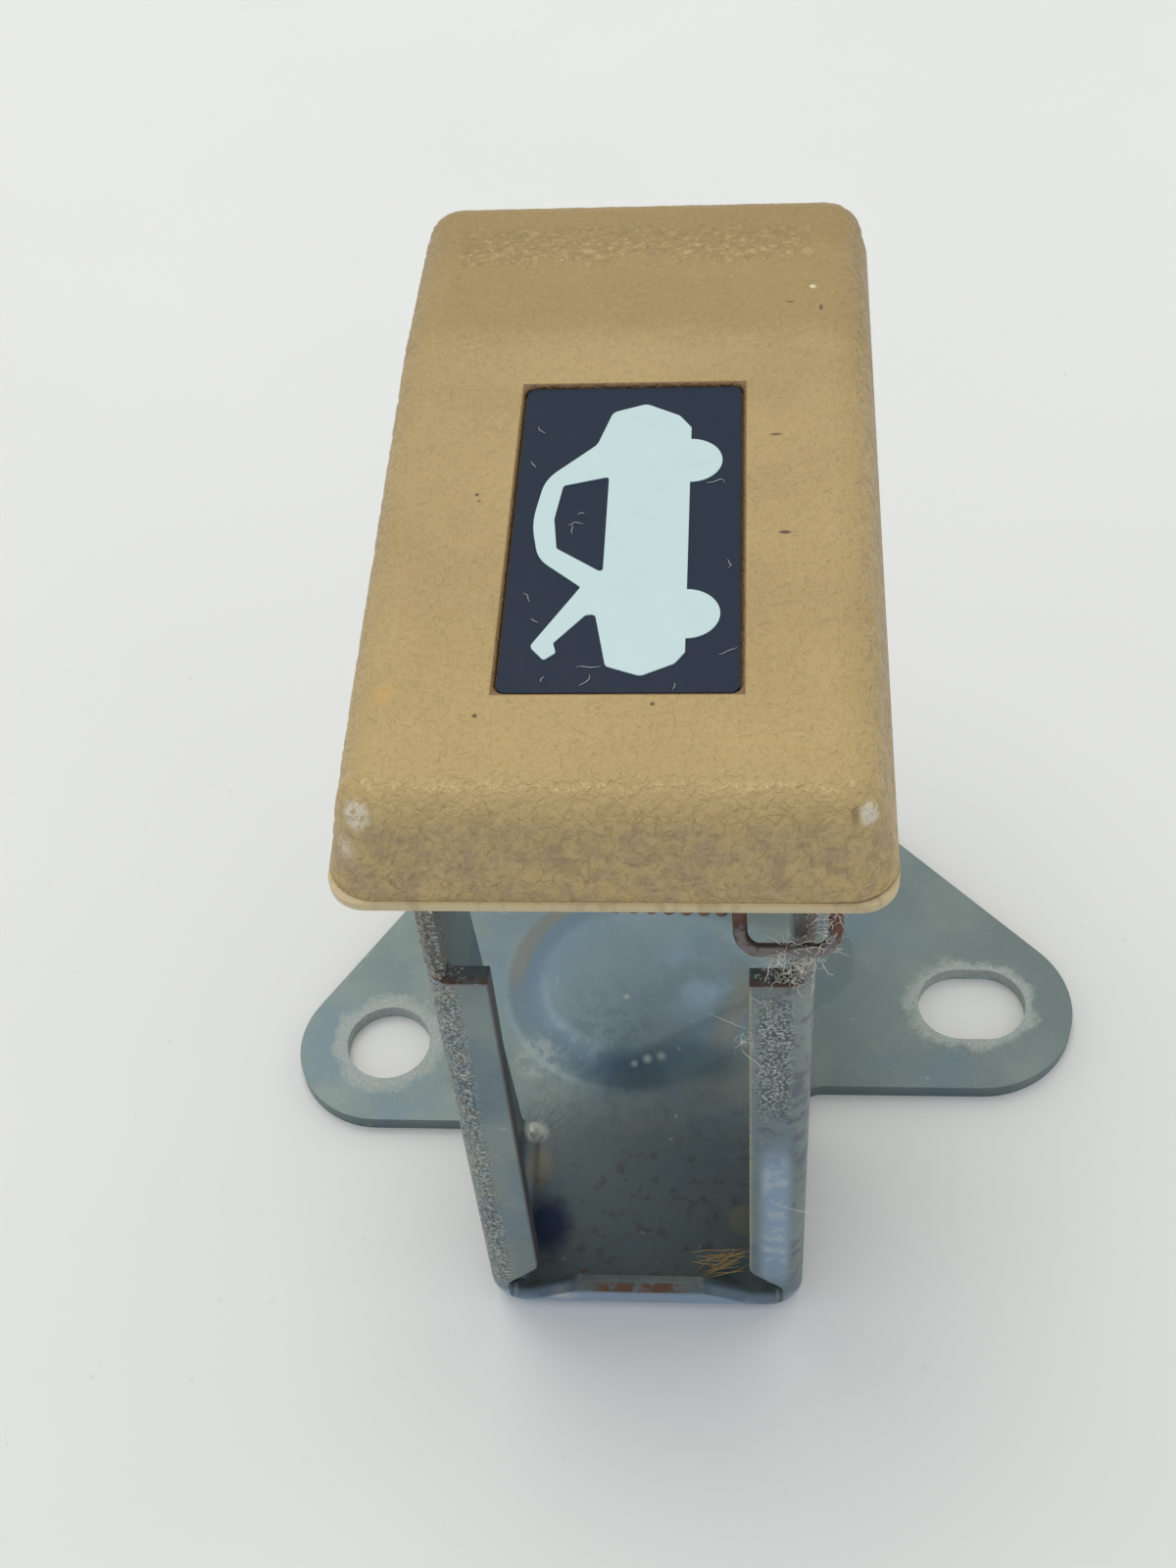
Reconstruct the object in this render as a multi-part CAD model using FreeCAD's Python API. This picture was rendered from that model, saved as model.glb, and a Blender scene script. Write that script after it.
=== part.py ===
import FreeCAD, Part

import math
import os

from FreeCAD import Vector

# Bonnet-release lever: a moulded handle on a steel lever, hinged between the two arms of a
# stamped bracket, with a return spring round the hinge pin. Millimetres. +X right, +Y from the
# hinge towards the handle's free end, +Z up. The origin is on the bracket's underside, midway
# between the arms and straight below the hinge pin.

# ---- Hinge ---------------------------------------------------------------------------------
PIVOT_Z = 54.0
PIN_R = 1.75
PIN_CLEARANCE = 0.05

# ---- Bracket: one stamping in one sheet ------------------------------------------------------
SHEET = 1.4
ARM_X = 12.35  # outer face of each arm, from the middle
ARM_FRONT = -4.0
ARM_FOOT_REAR = 12.2
ARM_TOP_R = 4.0
ARM_TOP = PIVOT_Z + ARM_TOP_R
BEND_R = 3.0  # outer radius of the bends between base and arms
LIP_X = 8.2  # free edge of the in-turned front lips
LIP_TOP = 46.2
FRONT_BEND_R = 1.8  # outer radius where the sheet turns at the front, all round
TONGUE_TOP = 3.2

LEFT_EAR_FRONT = 12.25
LEFT_EAR_R = 7.5
RIGHT_EAR_FRONT = 16.1
RIGHT_EAR_R = 8.3
BASE_REAR = 49.8
LEFT_HOLE = (-23.5, 20.0)
LEFT_HOLE_R = 3.65
RIGHT_SLOT = (27.5, 24.6)
RIGHT_SLOT_LENGTH = 9.3
RIGHT_SLOT_WIDTH = 7.2
CABLE_Y = 41.8  # the cable runs straight up here, from the base to the lever's hook
CASING_SLOT_R = 3.1

EMBOSS_LARGE = (-2.5, 26.3, 11.3)  # x, y and radius of the raised panel's two ends
EMBOSS_SMALL = (11.3, 29.0, 6.4)
EMBOSS_STEPS = ((0.0, 0.0), (0.8, 0.25), (3.2, 1.25), (4.2, 1.4))  # inset, rise

# ---- Lever: a channel in thinner sheet, open side down -----------------------------------------
LEVER_SHEET = 1.2
LEVER_X = 10.35
LEVER_TOP = 59.8
LEVER_REAR = 45.8
LEVER_BEND_R = 1.8
EAR_R = 3.2
BUSH_R = 2.4
BUSH_FLANGE_R = 3.0
BUSH_FLANGE = 0.5
HOOK_Z = 53.4
HOOK_X = 6.0
HOOK_SLOT_R = 1.1
SCREW_Y = (13.8, 31.8)
SCREW_R = 1.5
SCREW_TOP = 63.2

# ---- Return spring -----------------------------------------------------------------------------
WIRE_R = 0.45
COIL_R = 2.85  # to the middle of the wire
COIL_PITCH = 1.07
COIL_TURNS = 12.25
COIL_RIGHT = 7.6
COIL_DROOP = 3.0  # degrees; the coil is loose on the pin and its right end hangs lower
LEG_Y = -4.55
LEG_Z = 51.0
LEG_OUTER_X = 13.4
LEG_BEND_R = 1.2
ARM_LEG_X = -7.75
ANCHOR_Y = 11.8  # where the moving leg hooks into the lever

# ---- Handle moulding ---------------------------------------------------------------------------
HANDLE_BOTTOM = 57.0
HANDLE_TOP = 64.6
HANDLE_FRONT = -6.2
HANDLE_REAR = 58.6
HANDLE_MIDDLE = 0.15  # x of the handle's middle: it sits a little to the right
HANDLE_X = 16.75  # half the handle's width at its front
HANDLE_REAR_X = 16.9  # and at its free end, where it is a little wider
RIM = 0.6  # height of the lower moulding's rim
RIM_STEP = 0.25  # how far the rim stands proud of the cover's front
RIM_PLAN_R = 2.4
RIM_REAR_R = 3.6
COVER_PLAN_R = 3.0
COVER_WALL = 2.2
SIDE_DRAFT = 0.2  # how far the cover's sides lean in for each millimetre up, at the front
REAR_SIDE_DRAFT = 0.09  # and at the free end, where they stand up more
END_DRAFT = 0.27
SLOPE_START = 38.4  # the top is level up to here, then falls towards the free end
SLOPE_END_Z = 62.3
COVER_EDGE_R = 3.0

LABEL_CENTRE = (0.5, 18.0)
LABEL_RECESS = (14.6, 27.8, 0.6)
LABEL_SIZE = (14.3, 27.5, 0.4)
LABEL_CORNER_R = 0.7
INK = 0.08

PLANES = {
    "plan": (lambda u, v, depth: Vector(u, v, depth), Vector(0, 0, 1)),
    "side": (lambda u, v, depth: Vector(depth, u, v), Vector(1, 0, 0)),
    "front": (lambda u, v, depth: Vector(u, depth, v), Vector(0, 1, 0)),
}


def outline(corners, plane, depth):
    """A closed wire through corners (u, v, corner radius), in one of the three planes."""
    place = PLANES[plane][0]
    points = [Vector(u, v, 0) for u, v, radius in corners]
    bends = []
    for index, (u, v, radius) in enumerate(corners):
        corner = points[index]
        back = (points[index - 1] - corner).normalize()
        ahead = (points[(index + 1) % len(points)] - corner).normalize()
        half_angle = back.getAngle(ahead) / 2
        reach = radius / math.tan(half_angle)
        start = corner + back * reach
        end = corner + ahead * reach
        middle = corner
        if radius > 0:
            inward = (back + ahead).normalize()
            middle = corner + inward * (radius / math.sin(half_angle) - radius)
        bends.append((start, middle, end, radius))
    edges = []
    for index, (start, middle, end, radius) in enumerate(bends):
        if radius > 0:
            arc = [place(point.x, point.y, depth) for point in (start, middle, end)]
            edges.append(Part.Arc(*arc).toShape())
        following = bends[(index + 1) % len(bends)][0]
        if end.distanceToPoint(following) > 0.001:
            line = [place(point.x, point.y, depth) for point in (end, following)]
            edges.append(Part.LineSegment(*line).toShape())
    return Part.Wire(edges)


def prism(corners, plane, low, high):
    """A solid with the given outline, from low to high across its plane."""
    face = Part.Face(outline(corners, plane, low))
    return face.extrude(PLANES[plane][1] * (high - low))


def box(low, high):
    size = Vector(*high) - Vector(*low)
    return Part.makeBox(size.x, size.y, size.z, Vector(*low))


def rod(radius, start, end):
    """A round bar between two points."""
    axis = Vector(*end) - Vector(*start)
    return Part.makeCylinder(radius, axis.Length, Vector(*start), axis)


def mirrored(shape):
    """The same shape on the other side of the middle plane."""
    return shape.mirror(Vector(0, 0, 0), Vector(1, 0, 0))


def rounded_box(centre, width, length, radius, low, high):
    """A block with rounded plan corners."""
    x, y = centre
    half_x = width / 2
    half_y = length / 2
    corners = [
        (x - half_x, y - half_y, radius),
        (x + half_x, y - half_y, radius),
        (x + half_x, y + half_y, radius),
        (x - half_x, y + half_y, radius),
    ]
    return prism(corners, "plan", low, high)


def write(name, shape):
    clean = shape.removeSplitter()
    if not clean.isValid():
        raise ValueError(name + " is not a valid shape")
    clean.exportStep("parts/" + name + ".step")
    print(name, len(clean.Solids), "solid(s)", round(clean.Volume, 1), "mm3")


# ---- Bracket -------------------------------------------------------------------------------


def arm_profile(low_x, high_x):
    """Side view of the arms: a straight front, a slanted rear and a top round the pin."""
    run = math.hypot(ARM_FOOT_REAR, PIVOT_Z)
    lean = math.atan2(ARM_FOOT_REAR, PIVOT_Z) - math.asin(ARM_TOP_R / run)
    rear_top = ARM_FOOT_REAR - ARM_TOP * math.tan(lean)
    corners = [
        (ARM_FRONT, 0, 0),
        (ARM_FOOT_REAR, 0, 0),
        (rear_top, ARM_TOP, ARM_TOP_R - 0.001),
        (ARM_FRONT, ARM_TOP, ARM_TOP_R - 0.001),
    ]
    return prism(corners, "side", low_x, high_x)


def channel_section(inset, front, rear):
    """Front view of the base and both arms, with its bottom corners round."""
    corners = [
        (-ARM_X + inset, ARM_TOP + 1, 0),
        (-ARM_X + inset, inset, BEND_R - inset),
        (ARM_X - inset, inset, BEND_R - inset),
        (ARM_X - inset, ARM_TOP + 1, 0),
    ]
    return prism(corners, "front", front, rear)


def lipped_arm():
    """The left arm with its front edge turned inwards, and the lip cut away above the notch."""
    inner_x = ARM_X - SHEET
    lip_back = ARM_FRONT + SHEET
    corners = [
        (-ARM_X, ARM_FOOT_REAR, 0),
        (-ARM_X, ARM_FRONT, 0),
        (-LIP_X, ARM_FRONT, 0),
        (-LIP_X, lip_back, 0),
        (-inner_x, lip_back, FRONT_BEND_R - SHEET),
        (-inner_x, ARM_FOOT_REAR, 0),
    ]
    arm = prism(corners, "plan", 0, ARM_TOP)
    notch = box((-inner_x, ARM_FRONT - 1, LIP_TOP), (0, lip_back + 1, ARM_TOP))
    stub = box((-inner_x - 0.8, ARM_FRONT - 1, LIP_TOP), (0, ARM_FRONT + 0.45, ARM_TOP))
    return arm.cut(notch).cut(stub)


def lip_opening():
    """The gap between the lips: their lower ends curve out into the corners of the base."""
    corner_x = ARM_X - SHEET - 0.15
    corners = [
        (-LIP_X, ARM_TOP, 0),
        (-LIP_X, 7.0, 1.8),
        (-corner_x, 4.3, 1.2),
        (-corner_x, SHEET, 0.6),
        (corner_x, SHEET, 0.6),
        (corner_x, 4.3, 1.2),
        (LIP_X, 7.0, 1.8),
        (LIP_X, ARM_TOP, 0),
    ]
    return prism(corners, "front", ARM_FRONT - 1, ARM_FRONT + SHEET + 0.7)


def base_plate():
    """The flat base with its two ears, from the arms' foot to the rear edge."""
    corners = [
        (-ARM_X, ARM_FOOT_REAR - 0.5, 0),
        (-ARM_X, LEFT_EAR_FRONT, 0),
        (-37.3, LEFT_EAR_FRONT, LEFT_EAR_R),
        (-13.8, BASE_REAR, 5),
        (14.8, BASE_REAR, 5),
        (47.4, RIGHT_EAR_FRONT, RIGHT_EAR_R),
        (ARM_X, RIGHT_EAR_FRONT, 2),
        (ARM_X, ARM_FOOT_REAR - 0.5, 0),
    ]
    return prism(corners, "plan", 0, SHEET)


def emboss_outline(inset, z):
    """Two unequal round ends joined by their common tangents."""
    large = Vector(EMBOSS_LARGE[0], EMBOSS_LARGE[1], z)
    small = Vector(EMBOSS_SMALL[0], EMBOSS_SMALL[1], z)
    large_r = EMBOSS_LARGE[2] - inset
    small_r = EMBOSS_SMALL[2] - inset
    line = small - large
    heading = math.atan2(line.y, line.x)
    spread = math.acos((large_r - small_r) / line.Length)

    def around(centre, radius, angle):
        return centre + Vector(math.cos(angle), math.sin(angle), 0) * radius

    upper = heading + spread
    lower = heading - spread
    large_ends = (around(large, large_r, upper), around(large, large_r, lower))
    small_ends = (around(small, small_r, lower), around(small, small_r, upper))
    large_far = around(large, large_r, heading + math.pi)
    small_far = around(small, small_r, heading)
    return Part.Wire([
        Part.Arc(large_ends[0], large_far, large_ends[1]).toShape(),
        Part.LineSegment(large_ends[1], small_ends[0]).toShape(),
        Part.Arc(small_ends[0], small_far, small_ends[1]).toShape(),
        Part.LineSegment(small_ends[1], large_ends[0]).toShape(),
    ])


def emboss(base_z):
    """The raised panel's rise above a level, as a closed solid."""
    wires = [emboss_outline(inset, base_z + rise) for inset, rise in EMBOSS_STEPS]
    return Part.makeLoft(wires, True, True)


def front_tongue():
    """The base's front edge, turned up in the middle and running out towards the corners."""
    corners = [
        (-9.6, 0, 0),
        (-9.2, SHEET, 0),
        (-5.4, TONGUE_TOP, 2),
        (4.4, TONGUE_TOP, 2),
        (8.4, SHEET, 0),
        (8.8, 0, 0),
    ]
    return prism(corners, "front", ARM_FRONT, ARM_FRONT + SHEET)


def channel_envelope():
    """The channel as one block, its front rounded up both sides and along the bottom."""
    block = channel_section(0, ARM_FRONT, ARM_FOOT_REAR)
    front = [edge for edge in block.Edges if edge.BoundBox.YMax < ARM_FRONT + 0.01]
    front = [edge for edge in front if edge.BoundBox.ZMin < ARM_TOP]
    return block.makeFillet(FRONT_BEND_R, front)


def upset():
    """A low lump pushed up inside the left bend by the forming tool."""
    lump = Part.makeSphere(1.5, Vector(-ARM_X + SHEET + 0.9, ARM_FOOT_REAR - 0.9, SHEET - 1.05))
    return lump.common(box((-ARM_X + 0.5, 0, 0.5), (0, ARM_FOOT_REAR + 2, SHEET + 2)))


def slot_cutter(centre, length, width, low, high):
    """An obround cutter, long along X."""
    return rounded_box(centre, length, width, width / 2 - 0.001, low, high)


def bracket():
    tray = channel_section(0, ARM_FRONT, ARM_FOOT_REAR)
    tray = tray.cut(channel_section(SHEET, ARM_FRONT - 1, ARM_FOOT_REAR + 1))
    tray = tray.common(arm_profile(-ARM_X, ARM_X))
    front_low = (-ARM_X - 1, ARM_FRONT - 1, SHEET)
    front_zone = box(front_low, (ARM_X + 1, ARM_FRONT + FRONT_BEND_R, ARM_TOP + 1))
    arm = lipped_arm()
    arms = arm.fuse(mirrored(arm))
    arms = arms.common(arm_profile(-ARM_X, ARM_X))
    arms = arms.cut(lip_opening())
    shape = tray.cut(front_zone).fuse(arms).fuse(front_tongue())
    shape = shape.common(channel_envelope())
    shape = shape.fuse(base_plate()).fuse(upset())
    shape = shape.fuse(emboss(SHEET)).cut(emboss(0))

    shape = shape.cut(rod(LEFT_HOLE_R, (*LEFT_HOLE, -1), (*LEFT_HOLE, SHEET + 1)))
    shape = shape.cut(slot_cutter(RIGHT_SLOT, RIGHT_SLOT_LENGTH, RIGHT_SLOT_WIDTH, -1, SHEET + 1))
    shape = shape.cut(rod(CASING_SLOT_R, (0, CABLE_Y, -1), (0, CABLE_Y, SHEET + 1)))
    shape = shape.cut(box((-CASING_SLOT_R, CABLE_Y, -1), (CASING_SLOT_R, BASE_REAR + 1, SHEET + 1)))
    shape = shape.cut(rod(PIN_R, (-ARM_X - 1, 0, PIVOT_Z), (ARM_X + 1, 0, PIVOT_Z)))
    return shape


# ---- Hinge ---------------------------------------------------------------------------------


def pivot_pin():
    """A headed pin, peened over on the right arm."""
    shank = rod(PIN_R, (-ARM_X, 0, PIVOT_Z), (ARM_X, 0, PIVOT_Z))
    head = rod(3.0, (-ARM_X - 1.0, 0, PIVOT_Z), (-ARM_X, 0, PIVOT_Z))
    peened = rod(2.4, (ARM_X, 0, PIVOT_Z), (ARM_X + 0.45, 0, PIVOT_Z))
    head = head.makeFillet(0.4, [edge for edge in head.Edges if edge.BoundBox.XMax < -ARM_X - 0.9])
    return shank.fuse(head).fuse(peened)


def left_bush():
    """A plain bush in the lever's left ear, its flange against the arm."""
    inner_x = LEVER_X - LEVER_SHEET
    sleeve = rod(BUSH_R, (-LEVER_X, 0, PIVOT_Z), (-inner_x, 0, PIVOT_Z))
    flange = rod(BUSH_FLANGE_R, (-LEVER_X - BUSH_FLANGE, 0, PIVOT_Z), (-LEVER_X, 0, PIVOT_Z))
    bore = rod(PIN_R + PIN_CLEARANCE, (-ARM_X, 0, PIVOT_Z), (0, 0, PIVOT_Z))
    return sleeve.fuse(flange).cut(bore)


# ---- Lever ---------------------------------------------------------------------------------


def lever_section(inset, front, rear):
    """Front view of the lever: an upside-down channel."""
    corners = [
        (-LEVER_X + inset, 0, 0),
        (LEVER_X - inset, 0, 0),
        (LEVER_X - inset, LEVER_TOP - inset, LEVER_BEND_R - inset),
        (-LEVER_X + inset, LEVER_TOP - inset, LEVER_BEND_R - inset),
    ]
    return prism(corners, "front", front, rear)


def lever():
    corners = [
        (-EAR_R, PIVOT_Z, 0),
        (0, PIVOT_Z, 0),
        (1.8, 50.6, 0),
        (7.0, 50.6, 1.5),
        (15.8, 56.0, 2),
        (24.8, 57.4, 6),
        (LEVER_REAR, 57.4, 0),
        (LEVER_REAR, LEVER_TOP, 0),
        (-EAR_R, LEVER_TOP, 2),
    ]
    side = prism(corners, "side", -LEVER_X, LEVER_X)
    side = side.fuse(rod(EAR_R, (-LEVER_X, 0, PIVOT_Z), (LEVER_X, 0, PIVOT_Z)))
    channel = lever_section(0, -EAR_R, LEVER_REAR)
    channel = channel.cut(lever_section(LEVER_SHEET, -EAR_R - 1, LEVER_REAR + 1))
    shape = channel.common(side)

    stop = box((LEVER_X - LEVER_SHEET, 4.85, 50.8), (ARM_X - 0.15, 4.85 + LEVER_SHEET, 53.2))
    shape = shape.fuse(stop).fuse(mirrored(stop))

    drop = box((-HOOK_X, LEVER_REAR - LEVER_SHEET, HOOK_Z), (HOOK_X, LEVER_REAR, LEVER_TOP))
    foot = rounded_box((0, 41.4), 2 * HOOK_X, 8.8, 1.2, HOOK_Z, HOOK_Z + LEVER_SHEET)
    slot = rod(HOOK_SLOT_R, (0, CABLE_Y, 0), (0, CABLE_Y, HOOK_Z + LEVER_SHEET + 0.1))
    mouth = box((-HOOK_SLOT_R, 30, 0), (HOOK_SLOT_R, CABLE_Y, HOOK_Z + LEVER_SHEET + 0.1))
    shape = shape.fuse(drop).fuse(foot.cut(slot).cut(mouth))

    shape = shape.cut(rod(BUSH_R, (-LEVER_X - 1, 0, PIVOT_Z), (LEVER_X + 1, 0, PIVOT_Z)))
    for y in SCREW_Y:
        shape = shape.cut(rod(SCREW_R, (0, y, 50), (0, y, LEVER_TOP + 1)))
    anchor_z = PIVOT_Z + COIL_R
    hole = rod(WIRE_R + 0.3, (-LEVER_X - 1, ANCHOR_Y, anchor_z), (-6, ANCHOR_Y, anchor_z))
    return shape.cut(hole)


def handle_screws():
    """Pan-head screws, up through the lever's web into the cover's bosses."""
    web_under = LEVER_TOP - LEVER_SHEET
    screws = []
    for y in SCREW_Y:
        shank = rod(SCREW_R, (0, y, web_under), (0, y, SCREW_TOP))
        head = rod(2.7, (0, y, web_under - 1.7), (0, y, web_under))
        rim = [edge for edge in head.Edges if edge.BoundBox.ZMax < web_under - 1.6]
        head = head.makeFillet(0.7, rim)
        cross = box((-1.6, y - 0.3, web_under - 2), (1.6, y + 0.3, web_under - 0.8))
        turned = cross.copy()
        turned.rotate(Vector(0, y, 0), Vector(0, 0, 1), 90)
        screws.append(shank.fuse(head).cut(cross).cut(turned))
    return Part.makeCompound(screws)


# ---- Return spring -------------------------------------------------------------------------


def bent_edges(points, bend_r):
    """Straight runs through the points, joined by bends of one radius."""
    points = [Vector(*point) for point in points]
    edges = []
    start = points[0]
    for before, corner, after in zip(points, points[1:], points[2:]):
        back = (before - corner).normalize()
        ahead = (after - corner).normalize()
        half_angle = back.getAngle(ahead) / 2
        reach = bend_r / math.tan(half_angle)
        inward = (back + ahead).normalize()
        middle = corner + inward * (bend_r / math.sin(half_angle) - bend_r)
        edges.append(Part.LineSegment(start, corner + back * reach).toShape())
        edges.append(Part.Arc(corner + back * reach, middle, corner + ahead * reach).toShape())
        start = corner + ahead * reach
    edges.append(Part.LineSegment(start, points[-1]).toShape())
    return edges


def wire_solid(edges):
    """The round spring wire along a chain of edges."""
    first = edges[0]
    start = first.valueAt(first.FirstParameter)
    heading = first.tangentAt(first.FirstParameter)
    section = Part.Wire(Part.makeCircle(WIRE_R, start, heading))
    return Part.Wire(edges).makePipeShell([section], True, True)


def coil_edge():
    """Close-wound turns round the pin, from the top on the left to the front on the right."""
    length = COIL_TURNS * COIL_PITCH
    helix = Part.makeHelix(COIL_PITCH, length, COIL_R).Edges[0]
    helix.rotate(Vector(0, 0, 0), Vector(0, 1, 0), 90)
    helix.rotate(Vector(0, 0, 0), Vector(1, 0, 0), 180)
    helix.translate(Vector(COIL_RIGHT - length, 0, PIVOT_Z))
    helix.rotate(Vector(0, 0, PIVOT_Z), Vector(0, 1, 0), COIL_DROOP)
    return helix


def return_spring():
    """The coil, and the leg that hooks round the front of the right arm."""
    helix = coil_edge()
    end = helix.valueAt(helix.LastParameter)
    heading = helix.tangentAt(helix.LastParameter)
    points = [
        end,
        end + heading * 1.3,
        (COIL_RIGHT + 0.1, LEG_Y, LEG_Z),
        (LEG_OUTER_X, LEG_Y, LEG_Z),
        (LEG_OUTER_X, LEG_Y + 2.2, LEG_Z + 4.4),
    ]
    return wire_solid([helix] + bent_edges(points, LEG_BEND_R))


def return_spring_arm():
    """The coil's last quarter turn and the leg that hooks into the lever's left side."""
    quarter = Part.Arc(
        Vector(ARM_LEG_X, -COIL_R, PIVOT_Z),
        Vector(ARM_LEG_X, -COIL_R * math.sqrt(0.5), PIVOT_Z + COIL_R * math.sqrt(0.5)),
        Vector(ARM_LEG_X, 0, PIVOT_Z + COIL_R),
    )
    points = [
        (ARM_LEG_X, 0, PIVOT_Z + COIL_R),
        (ARM_LEG_X, ANCHOR_Y, PIVOT_Z + COIL_R),
        (-LEVER_X - 0.45, ANCHOR_Y, PIVOT_Z + COIL_R),
    ]
    return wire_solid([quarter.toShape()] + bent_edges(points, 0.8))


# ---- Handle mouldings ------------------------------------------------------------------------


def plan_corners(inset, front, rear, radius, rear_radius):
    """The handle's plan, a little wider at the rear, as the corners of an outline."""
    front_x = HANDLE_X - inset
    rear_x = HANDLE_REAR_X - inset
    return [
        (HANDLE_MIDDLE - front_x, front, radius),
        (HANDLE_MIDDLE + front_x, front, radius),
        (HANDLE_MIDDLE + rear_x, rear, rear_radius),
        (HANDLE_MIDDLE - rear_x, rear, rear_radius),
    ]


def side_walls(inset, bottom, top):
    """A block between the cover's two drafted sides, as long as the handle."""
    sections = []
    front = (HANDLE_FRONT, HANDLE_X, SIDE_DRAFT)
    rear = (HANDLE_REAR, HANDLE_REAR_X, REAR_SIDE_DRAFT)
    for y, half_width, draft in (front, rear):
        low_x = half_width - inset
        top_x = low_x - draft * (top - bottom)
        corners = [
            (HANDLE_MIDDLE - low_x, bottom, 0),
            (HANDLE_MIDDLE + low_x, bottom, 0),
            (HANDLE_MIDDLE + top_x, top, 0),
            (HANDLE_MIDDLE - top_x, top, 0),
        ]
        sections.append(outline(corners, "front", y))
    return Part.makeLoft(sections, True, True)


def cover_block(inset, bottom, edge_r):
    """The cover's outer form, or its hollow when inset: drafted sides and a falling far end."""
    top = HANDLE_TOP - inset
    front = HANDLE_FRONT + RIM_STEP + inset
    rear = HANDLE_REAR - inset
    slope_end = SLOPE_END_Z - inset
    side_view = [
        (front, bottom, 0),
        (rear, bottom, 0),
        (rear - END_DRAFT * (slope_end - bottom), slope_end, 0),
        (SLOPE_START, top, 14),
        (front + END_DRAFT * (top - bottom), top, 0),
    ]
    block = prism(side_view, "side", -2 * HANDLE_X, 2 * HANDLE_X)
    block = block.common(side_walls(inset, bottom, top))
    upright = [edge for edge in block.Edges if abs(edge.tangentAt(edge.FirstParameter).z) > 0.8]
    block = block.makeFillet(max(edge_r, COVER_PLAN_R - inset), upright)
    upper = [edge for edge in block.Edges if is_top_rim(edge, bottom, edge_r)]
    return block.makeFillet(edge_r, upper)


def is_top_rim(edge, bottom, edge_r):
    """An edge round the top of the block: not upright, not at the bottom, and on the outside."""
    if edge.BoundBox.ZMin < bottom + edge_r:
        return False
    middle = edge.valueAt((edge.FirstParameter + edge.LastParameter) / 2)
    return abs(middle.x) > 1 or middle.y < 0 or middle.y > SLOPE_START + 6


def handle_cover():
    bottom = HANDLE_BOTTOM + RIM
    shell = cover_block(0, bottom, COVER_EDGE_R)
    ceiling = HANDLE_TOP - COVER_WALL
    web_top = LEVER_TOP
    shell = shell.cut(cover_block(COVER_WALL, bottom - 0.01, 1.0))
    for y in SCREW_Y:
        boss = rod(3.0, (0, y, web_top), (0, y, ceiling + 0.5))
        shell = shell.fuse(boss).cut(rod(SCREW_R, (0, y, web_top - 1), (0, y, SCREW_TOP)))
    width, length, depth = LABEL_RECESS
    floor = HANDLE_TOP - depth
    recess = rounded_box(LABEL_CENTRE, width, length, LABEL_CORNER_R, floor, HANDLE_TOP + 1)
    return shell.cut(recess)


def handle_base():
    """The lower moulding: a rim under the cover's edge, and a ledge inside its sides and end."""
    under = HANDLE_BOTTOM
    wall_front = HANDLE_FRONT + RIM_STEP + COVER_WALL
    wall_rear = HANDLE_REAR - COVER_WALL
    rim = plan_corners(0, HANDLE_FRONT, HANDLE_REAR, RIM_PLAN_R, RIM_REAR_R)
    opening = plan_corners(COVER_WALL, wall_front, wall_rear, 1, 1)
    ring = prism(rim, "plan", under, under + RIM).cut(prism(opening, "plan", under - 1, under + 2))

    front = 8.0
    gap = 0.4
    wall = 1.2
    overlap = 0.1
    outer = plan_corners(COVER_WALL + gap, front, wall_rear - gap, 1, 1)
    inner = plan_corners(COVER_WALL + gap + wall, front + wall, wall_rear - gap - wall, 1, 1)
    foot = plan_corners(COVER_WALL - overlap, front, wall_rear + overlap, 1, 1)
    ledge = prism(outer, "plan", under, under + 2).fuse(prism(foot, "plan", under, under + RIM))
    open_x = HANDLE_X - COVER_WALL - gap - wall
    open_front = box((HANDLE_MIDDLE - open_x, 0, under - 1), (HANDLE_MIDDLE + open_x, 20, under + 3))
    ledge = ledge.cut(prism(inner, "plan", under - 1, under + 3)).cut(open_front)
    return ring.fuse(ledge)


def label_plate():
    width, length, depth = LABEL_SIZE
    floor = HANDLE_TOP - LABEL_RECESS[2]
    plate = rounded_box(LABEL_CENTRE, width, length, LABEL_CORNER_R - 0.15, floor, floor + depth)
    return plate


def pictogram():
    """A car from the side with its bonnet open, its roof to the left: a standard symbol."""
    low = HANDLE_TOP - LABEL_RECESS[2] + LABEL_SIZE[2]
    body = [
        (1.4, 30.0, 0.6), (3.6, 28.8, 0.5), (4.4, 27.6, 0.4), (4.4, 7.4, 0.3),
        (3.8, 6.5, 0.5), (1.8, 5.5, 0.6), (-0.3, 6.3, 0.4), (-1.1, 10.6, 0.3),
        (-1.7, 10.5, 0.2), (-3.5, 8.2, 0.2), (-3.3, 7.4, 0.15), (-4.0, 6.8, 0.15),
        (-4.9, 7.9, 0.4), (-2.1, 12.9, 0.2), (-4.9, 15.4, 2.6), (-5.5, 18.6, 8),
        (-4.9, 22.7, 3.4), (-1.7, 26.0, 1.2), (-0.8, 29.2, 0.7),
    ]
    window = [
        (-0.8, 22.9, 0.2), (-3.7, 22.1, 0.3), (-4.1, 19.0, 1.2), (-3.8, 16.3, 0.3),
        (-0.8, 14.1, 0.2),
    ]
    shape = prism(body, "plan", low, low + INK).cut(prism(window, "plan", low - 1, low + 1))
    for wheel_y in (10.6, 24.4):
        shape = shape.fuse(rod(2.05, (4.4, wheel_y, low), (4.4, wheel_y, low + INK)))
    return shape


os.makedirs("parts", exist_ok=True)
write("bracket", bracket())
write("pivot_pin", pivot_pin())
write("bush_left", left_bush())
write("bush_right", mirrored(left_bush()))
write("lever", lever())
write("handle_screws", handle_screws())
write("return_spring", return_spring())
write("return_spring_arm", return_spring_arm())
write("handle_cover", handle_cover())
write("handle_base", handle_base())
write("label_plate", label_plate())
write("pictogram", pictogram())
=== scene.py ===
import math
import random

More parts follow.
